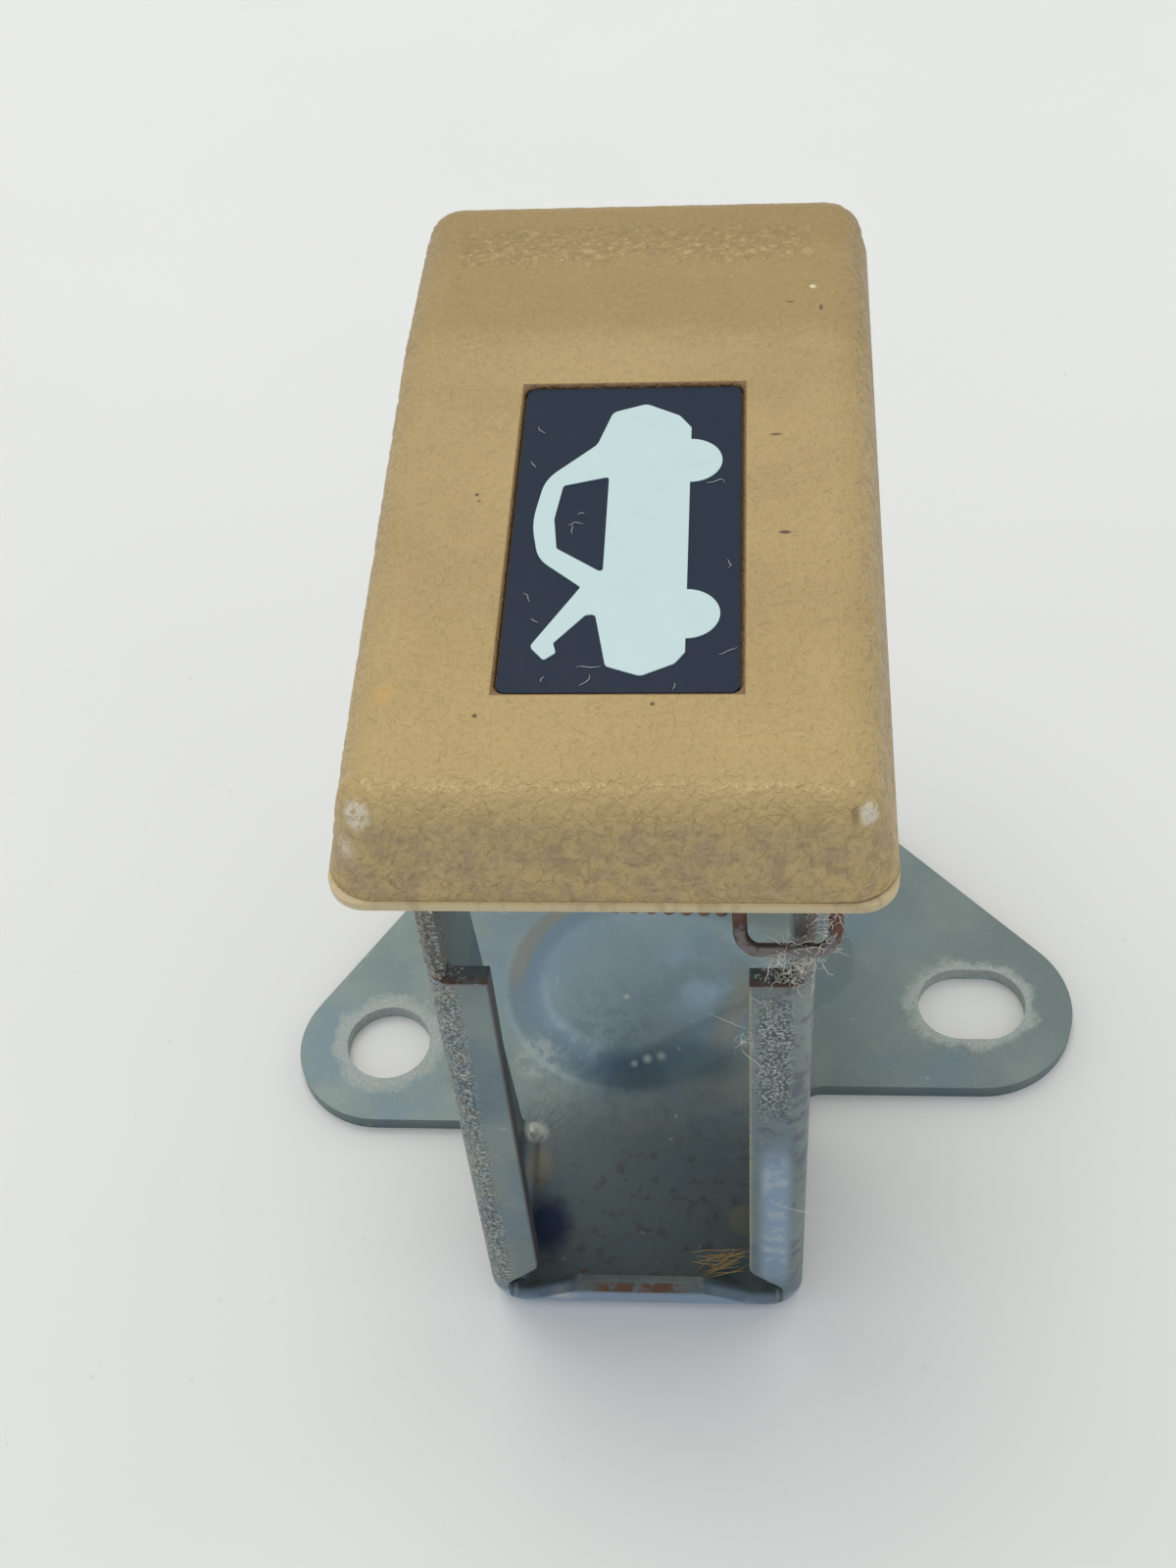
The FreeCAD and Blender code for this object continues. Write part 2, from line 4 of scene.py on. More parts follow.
import bmesh
import bpy
from mathutils import Euler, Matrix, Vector, noise


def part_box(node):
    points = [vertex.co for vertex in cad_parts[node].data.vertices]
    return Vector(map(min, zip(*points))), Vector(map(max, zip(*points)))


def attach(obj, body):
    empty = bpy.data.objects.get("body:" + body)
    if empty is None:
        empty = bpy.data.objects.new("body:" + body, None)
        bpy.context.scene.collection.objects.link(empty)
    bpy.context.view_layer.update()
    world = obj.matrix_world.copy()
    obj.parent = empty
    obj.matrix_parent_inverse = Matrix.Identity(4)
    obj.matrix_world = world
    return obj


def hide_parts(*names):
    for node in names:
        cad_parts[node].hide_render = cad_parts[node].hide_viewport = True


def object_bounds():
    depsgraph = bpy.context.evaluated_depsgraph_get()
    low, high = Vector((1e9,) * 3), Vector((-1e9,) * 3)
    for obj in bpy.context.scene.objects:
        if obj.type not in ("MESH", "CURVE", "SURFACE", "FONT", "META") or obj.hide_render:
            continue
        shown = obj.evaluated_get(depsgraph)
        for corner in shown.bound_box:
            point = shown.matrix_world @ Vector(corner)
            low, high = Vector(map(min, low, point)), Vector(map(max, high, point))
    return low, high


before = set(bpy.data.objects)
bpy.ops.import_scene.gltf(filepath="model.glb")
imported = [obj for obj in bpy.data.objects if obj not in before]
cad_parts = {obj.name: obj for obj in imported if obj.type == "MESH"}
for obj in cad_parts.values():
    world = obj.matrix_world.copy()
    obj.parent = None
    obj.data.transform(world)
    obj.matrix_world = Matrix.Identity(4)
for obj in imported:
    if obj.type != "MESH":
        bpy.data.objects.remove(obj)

# The looks of a bonnet-release lever: a leather-grained handle on a zinc-plated bracket. Lengths are
# in millimetres until a mesh is made; +X right, +Y from the hinge to the handle's free end, +Z up.
MM = 0.001

bpy.context.view_layer.update()
cad_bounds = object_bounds()


def box_mm(node):
    low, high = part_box(node)
    return low / MM, high / MM


COVER_LOW, COVER_HIGH = box_mm("handle_cover")
LABEL_LOW, LABEL_HIGH = box_mm("label_plate")
LEVER_TOP = box_mm("lever")[1].z

# The cover's form, as in the CAD.
MIDDLE_X = (COVER_LOW.x + COVER_HIGH.x) / 2
FRONT_HALF = 16.75  # half its width at the front; it widens towards the free end
REAR_HALF = (COVER_HIGH.x - COVER_LOW.x) / 2
SIDE_DRAFT = 0.2
REAR_SIDE_DRAFT = 0.09
END_DRAFT = 0.27
EDGE_R = 3.0
PLAN_R = 3.0
WALL = 2.2
INNER_EDGE_R = 1.0
SLOPE_START = 38.4
SLOPE_END_Z = 62.3
SLOPE_BLEND_R = 14.0
RECESS_GAP = 0.15  # between the label and its recess
RECESS_DEPTH = 0.6
RECESS_CORNER_R = 0.7
RECESS_LIP = 0.22  # round of the recess's top edge
BOSS_Y = (13.8, 31.8)
BOSS_R = 3.0
SCREW_R = 1.5
BOSS_SIDES = 40
MIDDLE_Y = 24.5  # of the cover's bottom edge, roughly
SEAM = 0.04  # least gap between the cover and the rim below it
SEAM_OPEN = 0.3  # how much wider the gap is at the worn right front corner
SEAM_REACH = 8.0  # how far from that corner the gap has closed
CEILING_SPINE = (2.0, 47.0)  # the hollow's ceiling closes on this line, from y to y

# Where the wear is.
RIDGE = (47.4, 51.0)  # a worn, granular band across the far end of the cover
LIP_X = 8.2
LIP_TOP = 46.2
BEND_CENTRE = (10.55, -2.2)  # of the arms' rounded front corners, in plan
BEND_R = 1.8
LEFT_HOLE = (-23.5, 20.0, 1.4)
RIGHT_SLOT = (27.5, 24.6, 1.4)
EMBOSS_CENTRE = (-2.5, 26.3, 1.6)


def srgb(red, green, blue):
    """A colour given as it looks on a screen, 0 to 255, as the linear values that a shader takes."""
    def linear(value):
        share = value / 255
        return share / 12.92 if share <= 0.04045 else ((share + 0.055) / 1.055) ** 2.4

    return (linear(red), linear(green), linear(blue), 1.0)


# ---- Building materials ------------------------------------------------------------------------


class Paint:
    """One material's nodes. Its methods take and return sockets or plain values."""

    def __init__(self, name):
        self.material = bpy.data.materials.new(name)
        self.material.use_nodes = True
        self.nodes = self.material.node_tree.nodes
        self.links = self.material.node_tree.links
        self.shader = self.nodes["Principled BSDF"]
        place = self.nodes.new("ShaderNodeTexCoord").outputs["Object"]
        self.place = self.move("MULTIPLY", place, (1 / MM, 1 / MM, 1 / MM))
        split = self.nodes.new("ShaderNodeSeparateXYZ")
        self.feed(split.inputs[0], self.place)
        self.x, self.y, self.z = split.outputs

    def feed(self, socket, value):
        if isinstance(value, bpy.types.NodeSocket):
            self.links.new(value, socket)
        else:
            socket.default_value = value

    def move(self, operation, a, b):
        node = self.nodes.new("ShaderNodeVectorMath")
        node.operation = operation
        self.feed(node.inputs[0], a)
        self.feed(node.inputs[1], b)
        return node.outputs["Value" if operation == "DISTANCE" else "Vector"]

    def math(self, operation, a, b=0.0):
        node = self.nodes.new("ShaderNodeMath")
        node.operation = operation
        self.feed(node.inputs[0], a)
        self.feed(node.inputs[1], b)
        return node.outputs[0]

    def add(self, *values):
        total = values[0]
        for value in values[1:]:
            total = self.math("ADD", total, value)
        return total

    def times(self, *values):
        total = values[0]
        for value in values[1:]:
            total = self.math("MULTIPLY", total, value)
        return total

    def either(self, *masks):
        total = masks[0]
        for mask in masks[1:]:
            total = self.math("MAXIMUM", total, mask)
        return total

    def band(self, value, low, high, start=0.0, end=1.0):
        """Runs smoothly from start to end as value goes from low to high."""
        node = self.nodes.new("ShaderNodeMapRange")
        node.interpolation_type = "SMOOTHSTEP"
        for socket, number in zip(node.inputs, (value, low, high, start, end)):
            self.feed(socket, number)
        return node.outputs[0]

    def noise(self, scale, detail=3.0, place=None, stretch=None, roughness=0.55):
        node = self.nodes.new("ShaderNodeTexNoise")
        place = self.place if place is None else place
        if stretch:
            place = self.move("MULTIPLY", place, stretch)
        self.feed(node.inputs["Vector"], place)
        node.inputs["Scale"].default_value = scale
        node.inputs["Detail"].default_value = detail
        node.inputs["Roughness"].default_value = roughness
        return node.outputs["Fac"]

    def warped(self, scale, amount):
        """The place in mm, pushed about by noise."""
        node = self.nodes.new("ShaderNodeTexNoise")
        self.feed(node.inputs["Vector"], self.place)
        node.inputs["Scale"].default_value = scale
        centred = self.move("SUBTRACT", node.outputs["Color"], (0.5, 0.5, 0.5))
        return self.move("ADD", self.place, self.move("MULTIPLY", centred, (amount,) * 3))

    def cells(self, scale, place):
        """The distance to the nearest border between cells."""
        node = self.nodes.new("ShaderNodeTexVoronoi")
        node.feature = "DISTANCE_TO_EDGE"
        self.feed(node.inputs["Vector"], place)
        node.inputs["Scale"].default_value = scale
        return node.outputs["Distance"]

    def near(self, centre, radius, soft, squeeze=(1.0, 1.0, 1.0)):
        """1 within radius of a point, falling to 0 over the soft distance; squeeze makes it an oval."""
        place = self.move("MULTIPLY", self.move("SUBTRACT", self.place, centre), squeeze)
        distance = self.move("DISTANCE", place, (0.0, 0.0, 0.0))
        return self.band(distance, radius, radius + soft, 1.0, 0.0)

    def within(self, value, low, high, soft):
        """1 between low and high, fading over the soft distance inside each."""
        rise = self.band(value, low, low + soft)
        return self.times(rise, self.band(value, high - soft, high, 1.0, 0.0))

    def crease(self, scale, width, stretch):
        """1, but 0 along thin wandering lines."""
        level = self.noise(scale, 3.0, place=self.warped(0.6, 0.9), stretch=stretch)
        away = self.math("ABSOLUTE", self.math("SUBTRACT", level, 0.5))
        return self.band(away, 0.0, width)

    def stored(self, name):
        """A number kept on the mesh's vertices."""
        node = self.nodes.new("ShaderNodeAttribute")
        node.attribute_name = name
        return node.outputs["Fac"]

    def mix(self, factor, a, b):
        node = self.nodes.new("ShaderNodeMix")
        node.data_type = "RGBA"
        self.feed(node.inputs["Factor"], factor)
        self.feed(node.inputs[6], a)
        self.feed(node.inputs[7], b)
        return node.outputs[2]

    def bump(self, height, distance, strength=1.0):
        """A normal for a height map whose full range is distance mm deep."""
        node = self.nodes.new("ShaderNodeBump")
        node.inputs["Strength"].default_value = strength
        node.inputs["Distance"].default_value = distance * MM
        self.feed(node.inputs["Height"], height)
        return node.outputs[0]

    def finish(self, colour, roughness, normal=None, metallic=0.0, specular=0.5):
        self.feed(self.shader.inputs["Base Color"], colour)
        self.feed(self.shader.inputs["Roughness"], roughness)
        self.feed(self.shader.inputs["Metallic"], metallic)
        self.shader.inputs["Specular IOR Level"].default_value = specular
        if normal is not None:
            self.feed(self.shader.inputs["Normal"], normal)
        return self.material


def cover_leather():
    """Tan moulded leather grain: soft pebbles on the sides, smoother where hands rub the top."""
    paint = Paint("cover_leather")
    facing = paint.nodes.new("ShaderNodeSeparateXYZ")
    paint.feed(facing.inputs[0], paint.nodes.new("ShaderNodeNewGeometry").outputs["Normal"])
    forward, up = facing.outputs[1], facing.outputs[2]
    top = paint.band(up, 0.55, 0.95)
    sides = paint.math("SUBTRACT", 1.0, top)
    valley = paint.stored("valley")

    fine = paint.band(paint.cells(1.3, paint.warped(0.8, 1.4)), 0.0, 0.2)
    soft = paint.noise(1.0, 4.0, roughness=0.6)
    grit = paint.noise(5.0, 3.0)
    creases = paint.times(
        paint.crease(0.32, 0.03, (1.0, 0.5, 1.0)),
        paint.crease(0.42, 0.03, (0.45, 1.0, 1.0)),
    )

    tan = paint.mix(paint.band(paint.noise(0.1, 3.0), 0.35, 0.65), srgb(171, 145, 93), srgb(179, 153, 100))
    tan = paint.mix(paint.band(paint.y, 35.5, 39.5, 0.0, 0.6), tan, srgb(150, 124, 68))
    tan = paint.mix(paint.band(paint.y, 14.0, 0.0, 0.0, 0.4), tan, srgb(190, 164, 106))
    blotch = paint.band(paint.noise(0.8, 4.0, roughness=0.6), 0.4, 0.6)
    low = paint.band(paint.z, 63.4, 61.8)
    tan = paint.mix(paint.times(blotch, sides, low, 0.55), tan, srgb(150, 124, 96))
    # Painted light and shade on the sides' grain: the valley shoulders are lightened as painted highlights,
    # and the valley bottoms are darkened as painted shade.
    painted_grain_highlight = paint.within(valley, 0.03, 0.5, 0.2)
    tan = paint.mix(paint.times(painted_grain_highlight, sides, 0.3), tan, srgb(196, 170, 122))
    tan = paint.mix(paint.times(paint.band(valley, 0.5, 1.0), sides, 0.2), tan, srgb(128, 104, 76))
    mottle = paint.noise(2.0, 3.0)
    tan = paint.mix(paint.band(mottle, 0.52, 0.66, 0.0, 0.12), tan, srgb(198, 172, 118))
    tan = paint.mix(paint.band(mottle, 0.46, 0.34, 0.0, 0.1), tan, srgb(140, 114, 68))
    tan = paint.mix(paint.band(grit, 0.6, 0.8, 0.0, 0.1), tan, srgb(204, 181, 134))
    # Painted highlight: a light granular line along the rounded edge where the top meets the front.
    painted_brow_highlight = paint.times(paint.within(up, 0.86, 0.97, 0.04), paint.band(forward, -0.15, -0.3))
    painted_brow_highlight = paint.times(painted_brow_highlight, paint.band(grit, 0.46, 0.58), paint.band(mottle, 0.42, 0.6), 0.5)
    tan = paint.mix(painted_brow_highlight, tan, srgb(222, 196, 138))

    wander = paint.add(paint.y, paint.band(paint.noise(0.6, 3.0), 0.3, 0.7, -0.9, 0.9))
    across = paint.within(paint.x, -14.5, 14.0, 3.0)
    ridge = paint.times(paint.within(wander, RIDGE[0] - 1.0, RIDGE[1] + 1.5, 1.2), across, top)
    granules = paint.noise(1.9, 4.0, roughness=0.7)
    tan = paint.mix(paint.times(ridge, paint.band(granules, 0.52, 0.62), 0.75), tan, srgb(196, 171, 115))
    tan = paint.mix(paint.times(ridge, paint.band(granules, 0.46, 0.36), 0.35), tan, srgb(116, 94, 50))
    beyond = paint.times(paint.band(wander, RIDGE[0], RIDGE[1]), top, 0.3)
    tan = paint.mix(beyond, tan, srgb(140, 114, 62))

    high = COVER_HIGH.z
    specks = paint.either(
        paint.near((10.4, 17.5, high), 0.14, 0.16, (0.6, 1.3, 1.0)),
        paint.near((-9.2, 21.2, high), 0.08, 0.12),
        paint.near((-9.0, 20.6, high), 0.05, 0.1),
        paint.near((2.6, 3.2, high), 0.08, 0.12),
        paint.near((-7.7, 2.3, high), 0.1, 0.12),
        paint.near((9.9, 26.7, high), 0.06, 0.22, (0.5, 1.4, 1.0)),
        paint.near((13.1, 40.2, high - 0.2), 0.06, 0.3, (1.6, 0.6, 1.0)),
        paint.near((11.0, 41.0, high - 0.3), 0.06, 0.2, (0.6, 1.4, 1.0)),
    )
    tan = paint.mix(paint.times(specks, 0.85), tan, srgb(66, 48, 26))
    tan = paint.mix(paint.near((12.6, 43.0, high - 0.5), 0.16, 0.16), tan, srgb(224, 212, 170))
    tan = paint.mix(paint.times(paint.near((-13.4, 4.0, high), 0.3, 0.9), 0.4), tan, srgb(206, 160, 78))

    # Pale patches on the near top corners, also made glossier: real wear, and on the near-left corner a
    # painted highlight as well.
    corners = paint.either(
        paint.near((-14.2, -3.9, 63.0), 0.5, 0.7),
        paint.near((15.0, -3.6, 62.9), 0.4, 0.6),
        paint.times(paint.near((-15.2, -4.4, 60.6), 0.2, 1.0), 0.6),
    )
    worn = paint.times(corners, paint.band(paint.noise(2.2, 3.0), 0.32, 0.52))
    tan = paint.mix(paint.times(worn, 0.75), tan, srgb(222, 212, 190))
    nick = paint.near((14.1, -3.9, 63.1), 0.25, 0.35, (1.6, 1.0, 0.6))
    tan = paint.mix(paint.times(nick, 0.5), tan, srgb(110, 86, 50))

    half_x = (LABEL_HIGH.x - LABEL_LOW.x) / 2 + RECESS_GAP
    half_y = (LABEL_HIGH.y - LABEL_LOW.y) / 2 + RECESS_GAP
    off_x = paint.math("ABSOLUTE", paint.add(paint.x, -(LABEL_LOW.x + LABEL_HIGH.x) / 2))
    off_y = paint.math("ABSOLUTE", paint.add(paint.y, -(LABEL_LOW.y + LABEL_HIGH.y) / 2))
    # Painted shade: a dark brown line round the edge of the label recess, where its wall is in shadow.
    recess = paint.times(
        paint.band(off_x, half_x + 0.24, half_x + 0.14),
        paint.band(off_y, half_y + 0.26, half_y + 0.16),
    )
    tan = paint.mix(paint.times(recess, 0.85), tan, srgb(104, 72, 34))

    height = paint.add(
        paint.times(fine, paint.band(top, 0.0, 1.0, 0.35, 0.2)),
        paint.times(soft, 1.4),
        paint.times(mottle, 0.7),
        paint.times(creases, 0.16, top),
        paint.times(grit, 0.16),
        paint.times(ridge, granules, 1.4),
    )
    roughness = paint.band(paint.add(grit, paint.times(worn, -0.6)), 0.2, 0.8, 0.36, 0.52)
    return paint.finish(tan, roughness, paint.bump(height, 0.15, 1.0), specular=0.5)


def smooth_tan():
    """The lower moulding: the same plastic with no grain, slightly shinier."""
    paint = Paint("base_plastic")
    tan = paint.mix(paint.noise(0.2, 3.0), srgb(190, 170, 128), srgb(202, 182, 140))
    grime = paint.band(paint.noise(0.9, 4.0, stretch=(1.0, 1.0, 0.3)), 0.52, 0.72, 0.0, 0.35)
    tan = paint.mix(grime, tan, srgb(130, 108, 72))
    roughness = paint.band(paint.noise(3.0, 3.0), 0.3, 0.7, 0.32, 0.48)
    return paint.finish(tan, roughness, paint.bump(paint.noise(4.0, 3.0), 0.03, 0.4))


def moulded_plastic(name, dark, light, gloss, specular=0.5):
    """Plain moulded or printed plastic with faint mottling and hairline scratches."""
    paint = Paint(name)
    colour = paint.mix(paint.noise(0.5, 4.0), dark, light)
    scratch = paint.noise(2.0, 6.0, stretch=(0.25, 3.0, 1.0), roughness=0.75)
    marks = paint.band(scratch, 0.7, 0.76, 0.0, 0.14)
    colour = paint.mix(marks, colour, srgb(200, 210, 208))
    roughness = paint.band(paint.noise(1.5, 4.0), 0.3, 0.7, gloss, gloss + 0.14)
    normal = paint.bump(paint.noise(1.2, 3.0), 0.02, 0.3)
    return paint.finish(colour, roughness, normal, specular=specular)


def zinc():
    """Old zinc plate: dull blue-grey, with white oxide, washer rings, stains and a little rust, and in places
    painted shade, painted reflections and painted highlights.
    """
    paint = Paint("zinc_plate")
    side = paint.math("ABSOLUTE", paint.x)
    fleck = paint.noise(4.2, 4.0, roughness=0.65)
    coarse = paint.noise(0.7, 4.0, roughness=0.65)
    on_base = paint.band(paint.z, 3.6, 2.4)
    on_lips = paint.times(paint.band(paint.y, -1.2, -2.4), paint.band(paint.z, 2.5, 6.0))

    cloud = paint.band(paint.noise(0.15, 4.0), 0.35, 0.65)
    colour = paint.mix(cloud, srgb(108, 122, 121), srgb(124, 137, 133))
    colour = paint.mix(paint.times(on_base, 0.45), colour, srgb(94, 108, 108))
    blue = paint.band(paint.noise(0.09, 3.0), 0.5, 0.66, 0.0, 0.6)
    colour = paint.mix(blue, colour, srgb(94, 114, 128))
    colour = paint.mix(paint.band(fleck, 0.5, 0.75, 0.0, 0.18), colour, srgb(170, 180, 176))

    # Painted shade and reflection: the base plate darker in the middle under the handle, with brown mottling
    # over it.
    wavy_y = paint.add(paint.y, paint.band(coarse, 0.3, 0.7, -2.0, 2.0))
    painted_base_shade = paint.times(on_base, paint.band(side, 12.2, 10.4), paint.band(wavy_y, 17.0, 9.0))
    colour = paint.mix(paint.times(painted_base_shade, 0.7), colour, srgb(76, 90, 98))
    brown = paint.times(painted_base_shade, paint.band(coarse, 0.52, 0.66), 0.5)
    colour = paint.mix(brown, colour, srgb(72, 62, 52))
    # Painted reflection and highlight: the emboss lighter and bluer, as a reflection of the sky, and a bright
    # blue-white patch on its right.
    painted_dish_reflection = paint.near(EMBOSS_CENTRE, 8.0, 5.0)
    colour = paint.mix(paint.times(painted_dish_reflection, on_base, 0.55), colour, srgb(108, 134, 156))
    glow = paint.band(paint.noise(0.22, 3.0), 0.4, 0.62)
    shine = paint.times(paint.near((5.5, 26.0, 2.0), 1.0, 6.5), on_base, glow, 0.5)
    colour = paint.mix(shine, colour, srgb(156, 186, 214))
    # A darker blue patch over the emboss's front left, broken up by noise.
    dark_blue_patch = paint.times(paint.near((-4.5, 20.5, 2.0), 1.5, 6.0), paint.band(coarse, 0.55, 0.42))
    colour = paint.mix(paint.times(dark_blue_patch, on_base, 0.4), colour, srgb(66, 88, 104))
    # Painted shade and reflection: the emboss's front slope darker blue, where it reflects the dark underside
    # of the handle.
    painted_emboss_shade = paint.either(
        paint.near((-2.0, 16.9, 2.0), 0.8, 2.0, (0.45, 1.0, 1.0)),
        paint.near((3.6, 18.2, 2.0), 0.8, 1.8, (0.45, 1.0, 1.0)),
    )
    colour = paint.mix(paint.times(painted_emboss_shade, on_base, 0.5), colour, srgb(54, 78, 96))
    deep_blue = paint.near((-8.3, 2.6, 1.6), 0.9, 1.9, (1.0, 0.8, 1.0))
    colour = paint.mix(paint.times(deep_blue, on_base, 0.9), colour, srgb(20, 38, 72))
    from_emboss = paint.move("DISTANCE", paint.place, EMBOSS_CENTRE)
    arc = paint.times(
        paint.within(from_emboss, 8.6, 11.6, 1.3),
        paint.either(
            paint.near((-11.5, 31.5, 2.0), 3.5, 4.0),
            paint.times(paint.near((7.0, 23.0, 2.0), 2.0, 3.5), 0.8),
        ),
    )
    olive = paint.near((7.9, 3.4, 1.6), 1.0, 0.8)
    ochre = paint.either(
        paint.times(arc, 0.38),
        paint.times(paint.near((-9.4, 8.0, 1.4), 0.2, 1.5, (1.0, 0.6, 1.0)), 0.4),
        paint.times(olive, 0.28),
    )
    colour = paint.mix(paint.times(ochre, on_base), colour, srgb(150, 134, 96))

    left = paint.move("DISTANCE", paint.place, LEFT_HOLE)
    squeezed = paint.move("MULTIPLY", paint.place, (0.84, 1.0, 1.0))
    slot_centre = (RIGHT_SLOT[0] * 0.84, RIGHT_SLOT[1], RIGHT_SLOT[2])
    right = paint.move("DISTANCE", squeezed, slot_centre)
    ragged = paint.times(paint.noise(0.55, 5.0, roughness=0.7), 3.2)
    rings = paint.either(
        paint.band(paint.add(left, ragged), 5.8, 6.9, 1.0, 0.0),
        paint.band(paint.add(right, ragged), 5.7, 6.7, 1.0, 0.0),
    )
    rings = paint.times(rings, on_base, paint.band(fleck, 0.3, 0.6, 0.35, 0.75))

    spots = paint.either(
        paint.times(paint.near((-0.6, 17.9, 2.6), 0.1, 0.5), 0.6),
        paint.times(paint.near((0.6, 18.2, 2.6), 0.1, 0.5), 0.5),
        paint.times(paint.near((-1.7, 17.5, 2.4), 0.05, 0.4), 0.5),
        paint.times(paint.near((-2.6, 24.1, 2.8), 0.05, 0.35), 0.5),
        paint.times(paint.near((-10.3, 18.6, 1.8), 0.2, 2.6), paint.band(coarse, 0.4, 0.6), 0.6),
    )
    scatter = paint.times(paint.band(paint.noise(0.8, 5.0), 0.66, 0.76), 0.25)

    left_crust = paint.times(paint.band(paint.x, -9.9, -11.0), on_lips)
    high_right = paint.times(paint.within(paint.z, 29.0, 46.0, 4.0), paint.within(paint.x, 8.3, 11.4, 0.9))
    low_right = paint.times(paint.within(paint.z, 3.0, 28.0, 6.0), paint.within(paint.x, 8.6, 11.6, 1.0))
    right_crust = paint.times(high_right, on_lips)
    low_crust = paint.times(low_right, on_lips, paint.band(coarse, 0.46, 0.6))
    grains = paint.band(fleck, 0.5, 0.58)
    salt = paint.either(
        paint.times(left_crust, grains, paint.band(coarse, 0.3, 0.6, 0.4, 1.0)),
        paint.times(right_crust, grains, paint.band(coarse, 0.3, 0.6, 0.4, 0.9)),
        paint.times(low_crust, 0.5),
    )
    oxide = paint.either(rings, spots, scatter, salt)

    dark_grains = paint.times(paint.either(left_crust, right_crust), paint.band(fleck, 0.5, 0.4), 0.75)
    colour = paint.mix(dark_grains, colour, srgb(52, 50, 44))
    warm = paint.times(left_crust, paint.band(coarse, 0.45, 0.6), 0.45)
    colour = paint.mix(warm, colour, srgb(138, 126, 92))
    purple = paint.times(on_lips, paint.band(paint.x, 8.0, 9.5), paint.band(coarse, 0.48, 0.6), 0.6)
    colour = paint.mix(purple, colour, srgb(70, 76, 94))
    colour = paint.mix(paint.times(low_right, on_lips, 0.6), colour, srgb(146, 172, 202))
    colour = paint.mix(oxide, colour, srgb(182, 190, 182))

    free_edge = paint.times(paint.band(side, LIP_X + 0.2, LIP_X + 0.08), on_lips)
    left_edge = paint.times(free_edge, paint.band(paint.x, 0.0, -1.0))
    right_edge = paint.times(free_edge, paint.band(paint.x, 0.0, 1.0))
    colour = paint.mix(paint.times(left_edge, 0.75), colour, srgb(78, 62, 62))
    colour = paint.mix(paint.times(right_edge, paint.band(fleck, 0.4, 0.5), 0.7), colour, srgb(168, 158, 124))

    # Painted light: the base's lower front face lightened to a light blue-grey, as where it is lit.
    painted_front_light = paint.times(paint.band(paint.y, -2.8, -3.4), paint.band(paint.z, 3.4, 2.6))
    colour = paint.mix(paint.times(painted_front_light, 0.8), colour, srgb(158, 176, 196))
    # The upset bump painted bright silver: bare metal, with a painted highlight.
    upset = paint.near((-9.85, 11.3, 1.9), 0.7, 0.7)
    colour = paint.mix(paint.times(upset, 0.8), colour, srgb(178, 180, 170))
    scrape = paint.near((-6.4, -3.9, 2.2), 0.2, 0.9, (0.7, 1.0, 1.4))
    scrape = paint.times(scrape, paint.band(fleck, 0.42, 0.52))
    colour = paint.mix(scrape, colour, srgb(196, 194, 184))

    from_notch = paint.math("ABSOLUTE", paint.add(paint.z, -LIP_TOP))
    tongue_cut = paint.times(paint.band(paint.z, 3.05, 3.15), paint.band(paint.y, -3.1, -3.3))
    rust_noise = paint.band(paint.noise(1.2, 5.0, roughness=0.7), 0.34, 0.5)
    at_notch = paint.band(from_notch, 0.2, 0.08)
    rust = paint.either(
        paint.times(at_notch, paint.within(paint.y, -4.2, -3.4, 0.1), 0.9),
        paint.times(tongue_cut, paint.within(paint.x, -5.4, 4.0, 2.4), paint.band(coarse, 0.3, 0.45)),
        paint.times(paint.near((10.2, -3.6, 2.4), 0.5, 0.9), 0.9),
        paint.times(paint.near((-11.4, -3.4, 50.0), 2.6, 3.0), 0.4),
        paint.times(paint.near((11.4, -3.4, 50.5), 3.0, 3.5), 0.6),
        paint.near((-5.0, -1.4, 1.4), 0.12, 0.25),
    )
    rust = paint.times(rust, rust_noise)
    colour = paint.mix(paint.times(at_notch, on_lips, 0.6), colour, srgb(130, 148, 152))
    colour = paint.mix(rust, colour, paint.mix(fleck, srgb(66, 48, 38), srgb(122, 88, 66)))

    dull = paint.either(oxide, rust, paint.times(dark_grains, 0.8))
    metallic = paint.band(dull, 0.0, 1.0, 0.6, 0.05)
    roughness = paint.band(dull, 0.0, 1.0, 0.4, 0.75)
    crusted = paint.times(paint.either(left_crust, right_crust), paint.band(fleck, 0.3, 0.7), 1.6)
    height = paint.add(paint.times(fleck, 0.25), paint.times(oxide, 0.5), paint.times(rust, 0.6), crusted)
    return paint.finish(colour, roughness, paint.bump(height, 0.07, 0.7), metallic)


def rusty_steel(name, clean, rust_low, rust_high, rusty_over=None):
    """Bare steel, rusted where the noise is over the two limits, and more above a height."""
    paint = Paint(name)
    level = paint.noise(0.9, 5.0, roughness=0.65)
    if rusty_over:
        level = paint.add(level, paint.band(paint.z, rusty_over - 0.6, rusty_over + 0.3, 0.0, 0.25))
    rust = paint.band(level, rust_low, rust_high)
    patina = paint.mix(paint.noise(2.0, 3.0), srgb(84, 54, 44), srgb(122, 82, 66))
    colour = paint.mix(rust, clean, patina)
    metallic = paint.band(rust, 0.0, 1.0, 0.85, 0.1)
    roughness = paint.band(rust, 0.0, 1.0, 0.34, 0.8)
    height = paint.add(paint.times(rust, 0.7), paint.times(paint.noise(5.0, 3.0), 0.3))
    return paint.finish(colour, roughness, paint.bump(height, 0.05, 0.6), metallic)


def plain_fibre(name, dark, light):
    paint = Paint(name)
    colour = paint.mix(paint.noise(1.4, 3.0), dark, light)
    return paint.finish(colour, 0.7, paint.bump(paint.noise(9.0, 2.0), 0.02, 0.4))


# ---- The grained cover -------------------------------------------------------------------------

FRONT_POINTS = 100
SIDE_POINTS = 200
CORNER_POINTS = 18

noise.seed_set(1)  # without a seed, noise_vector gives a different grain each run


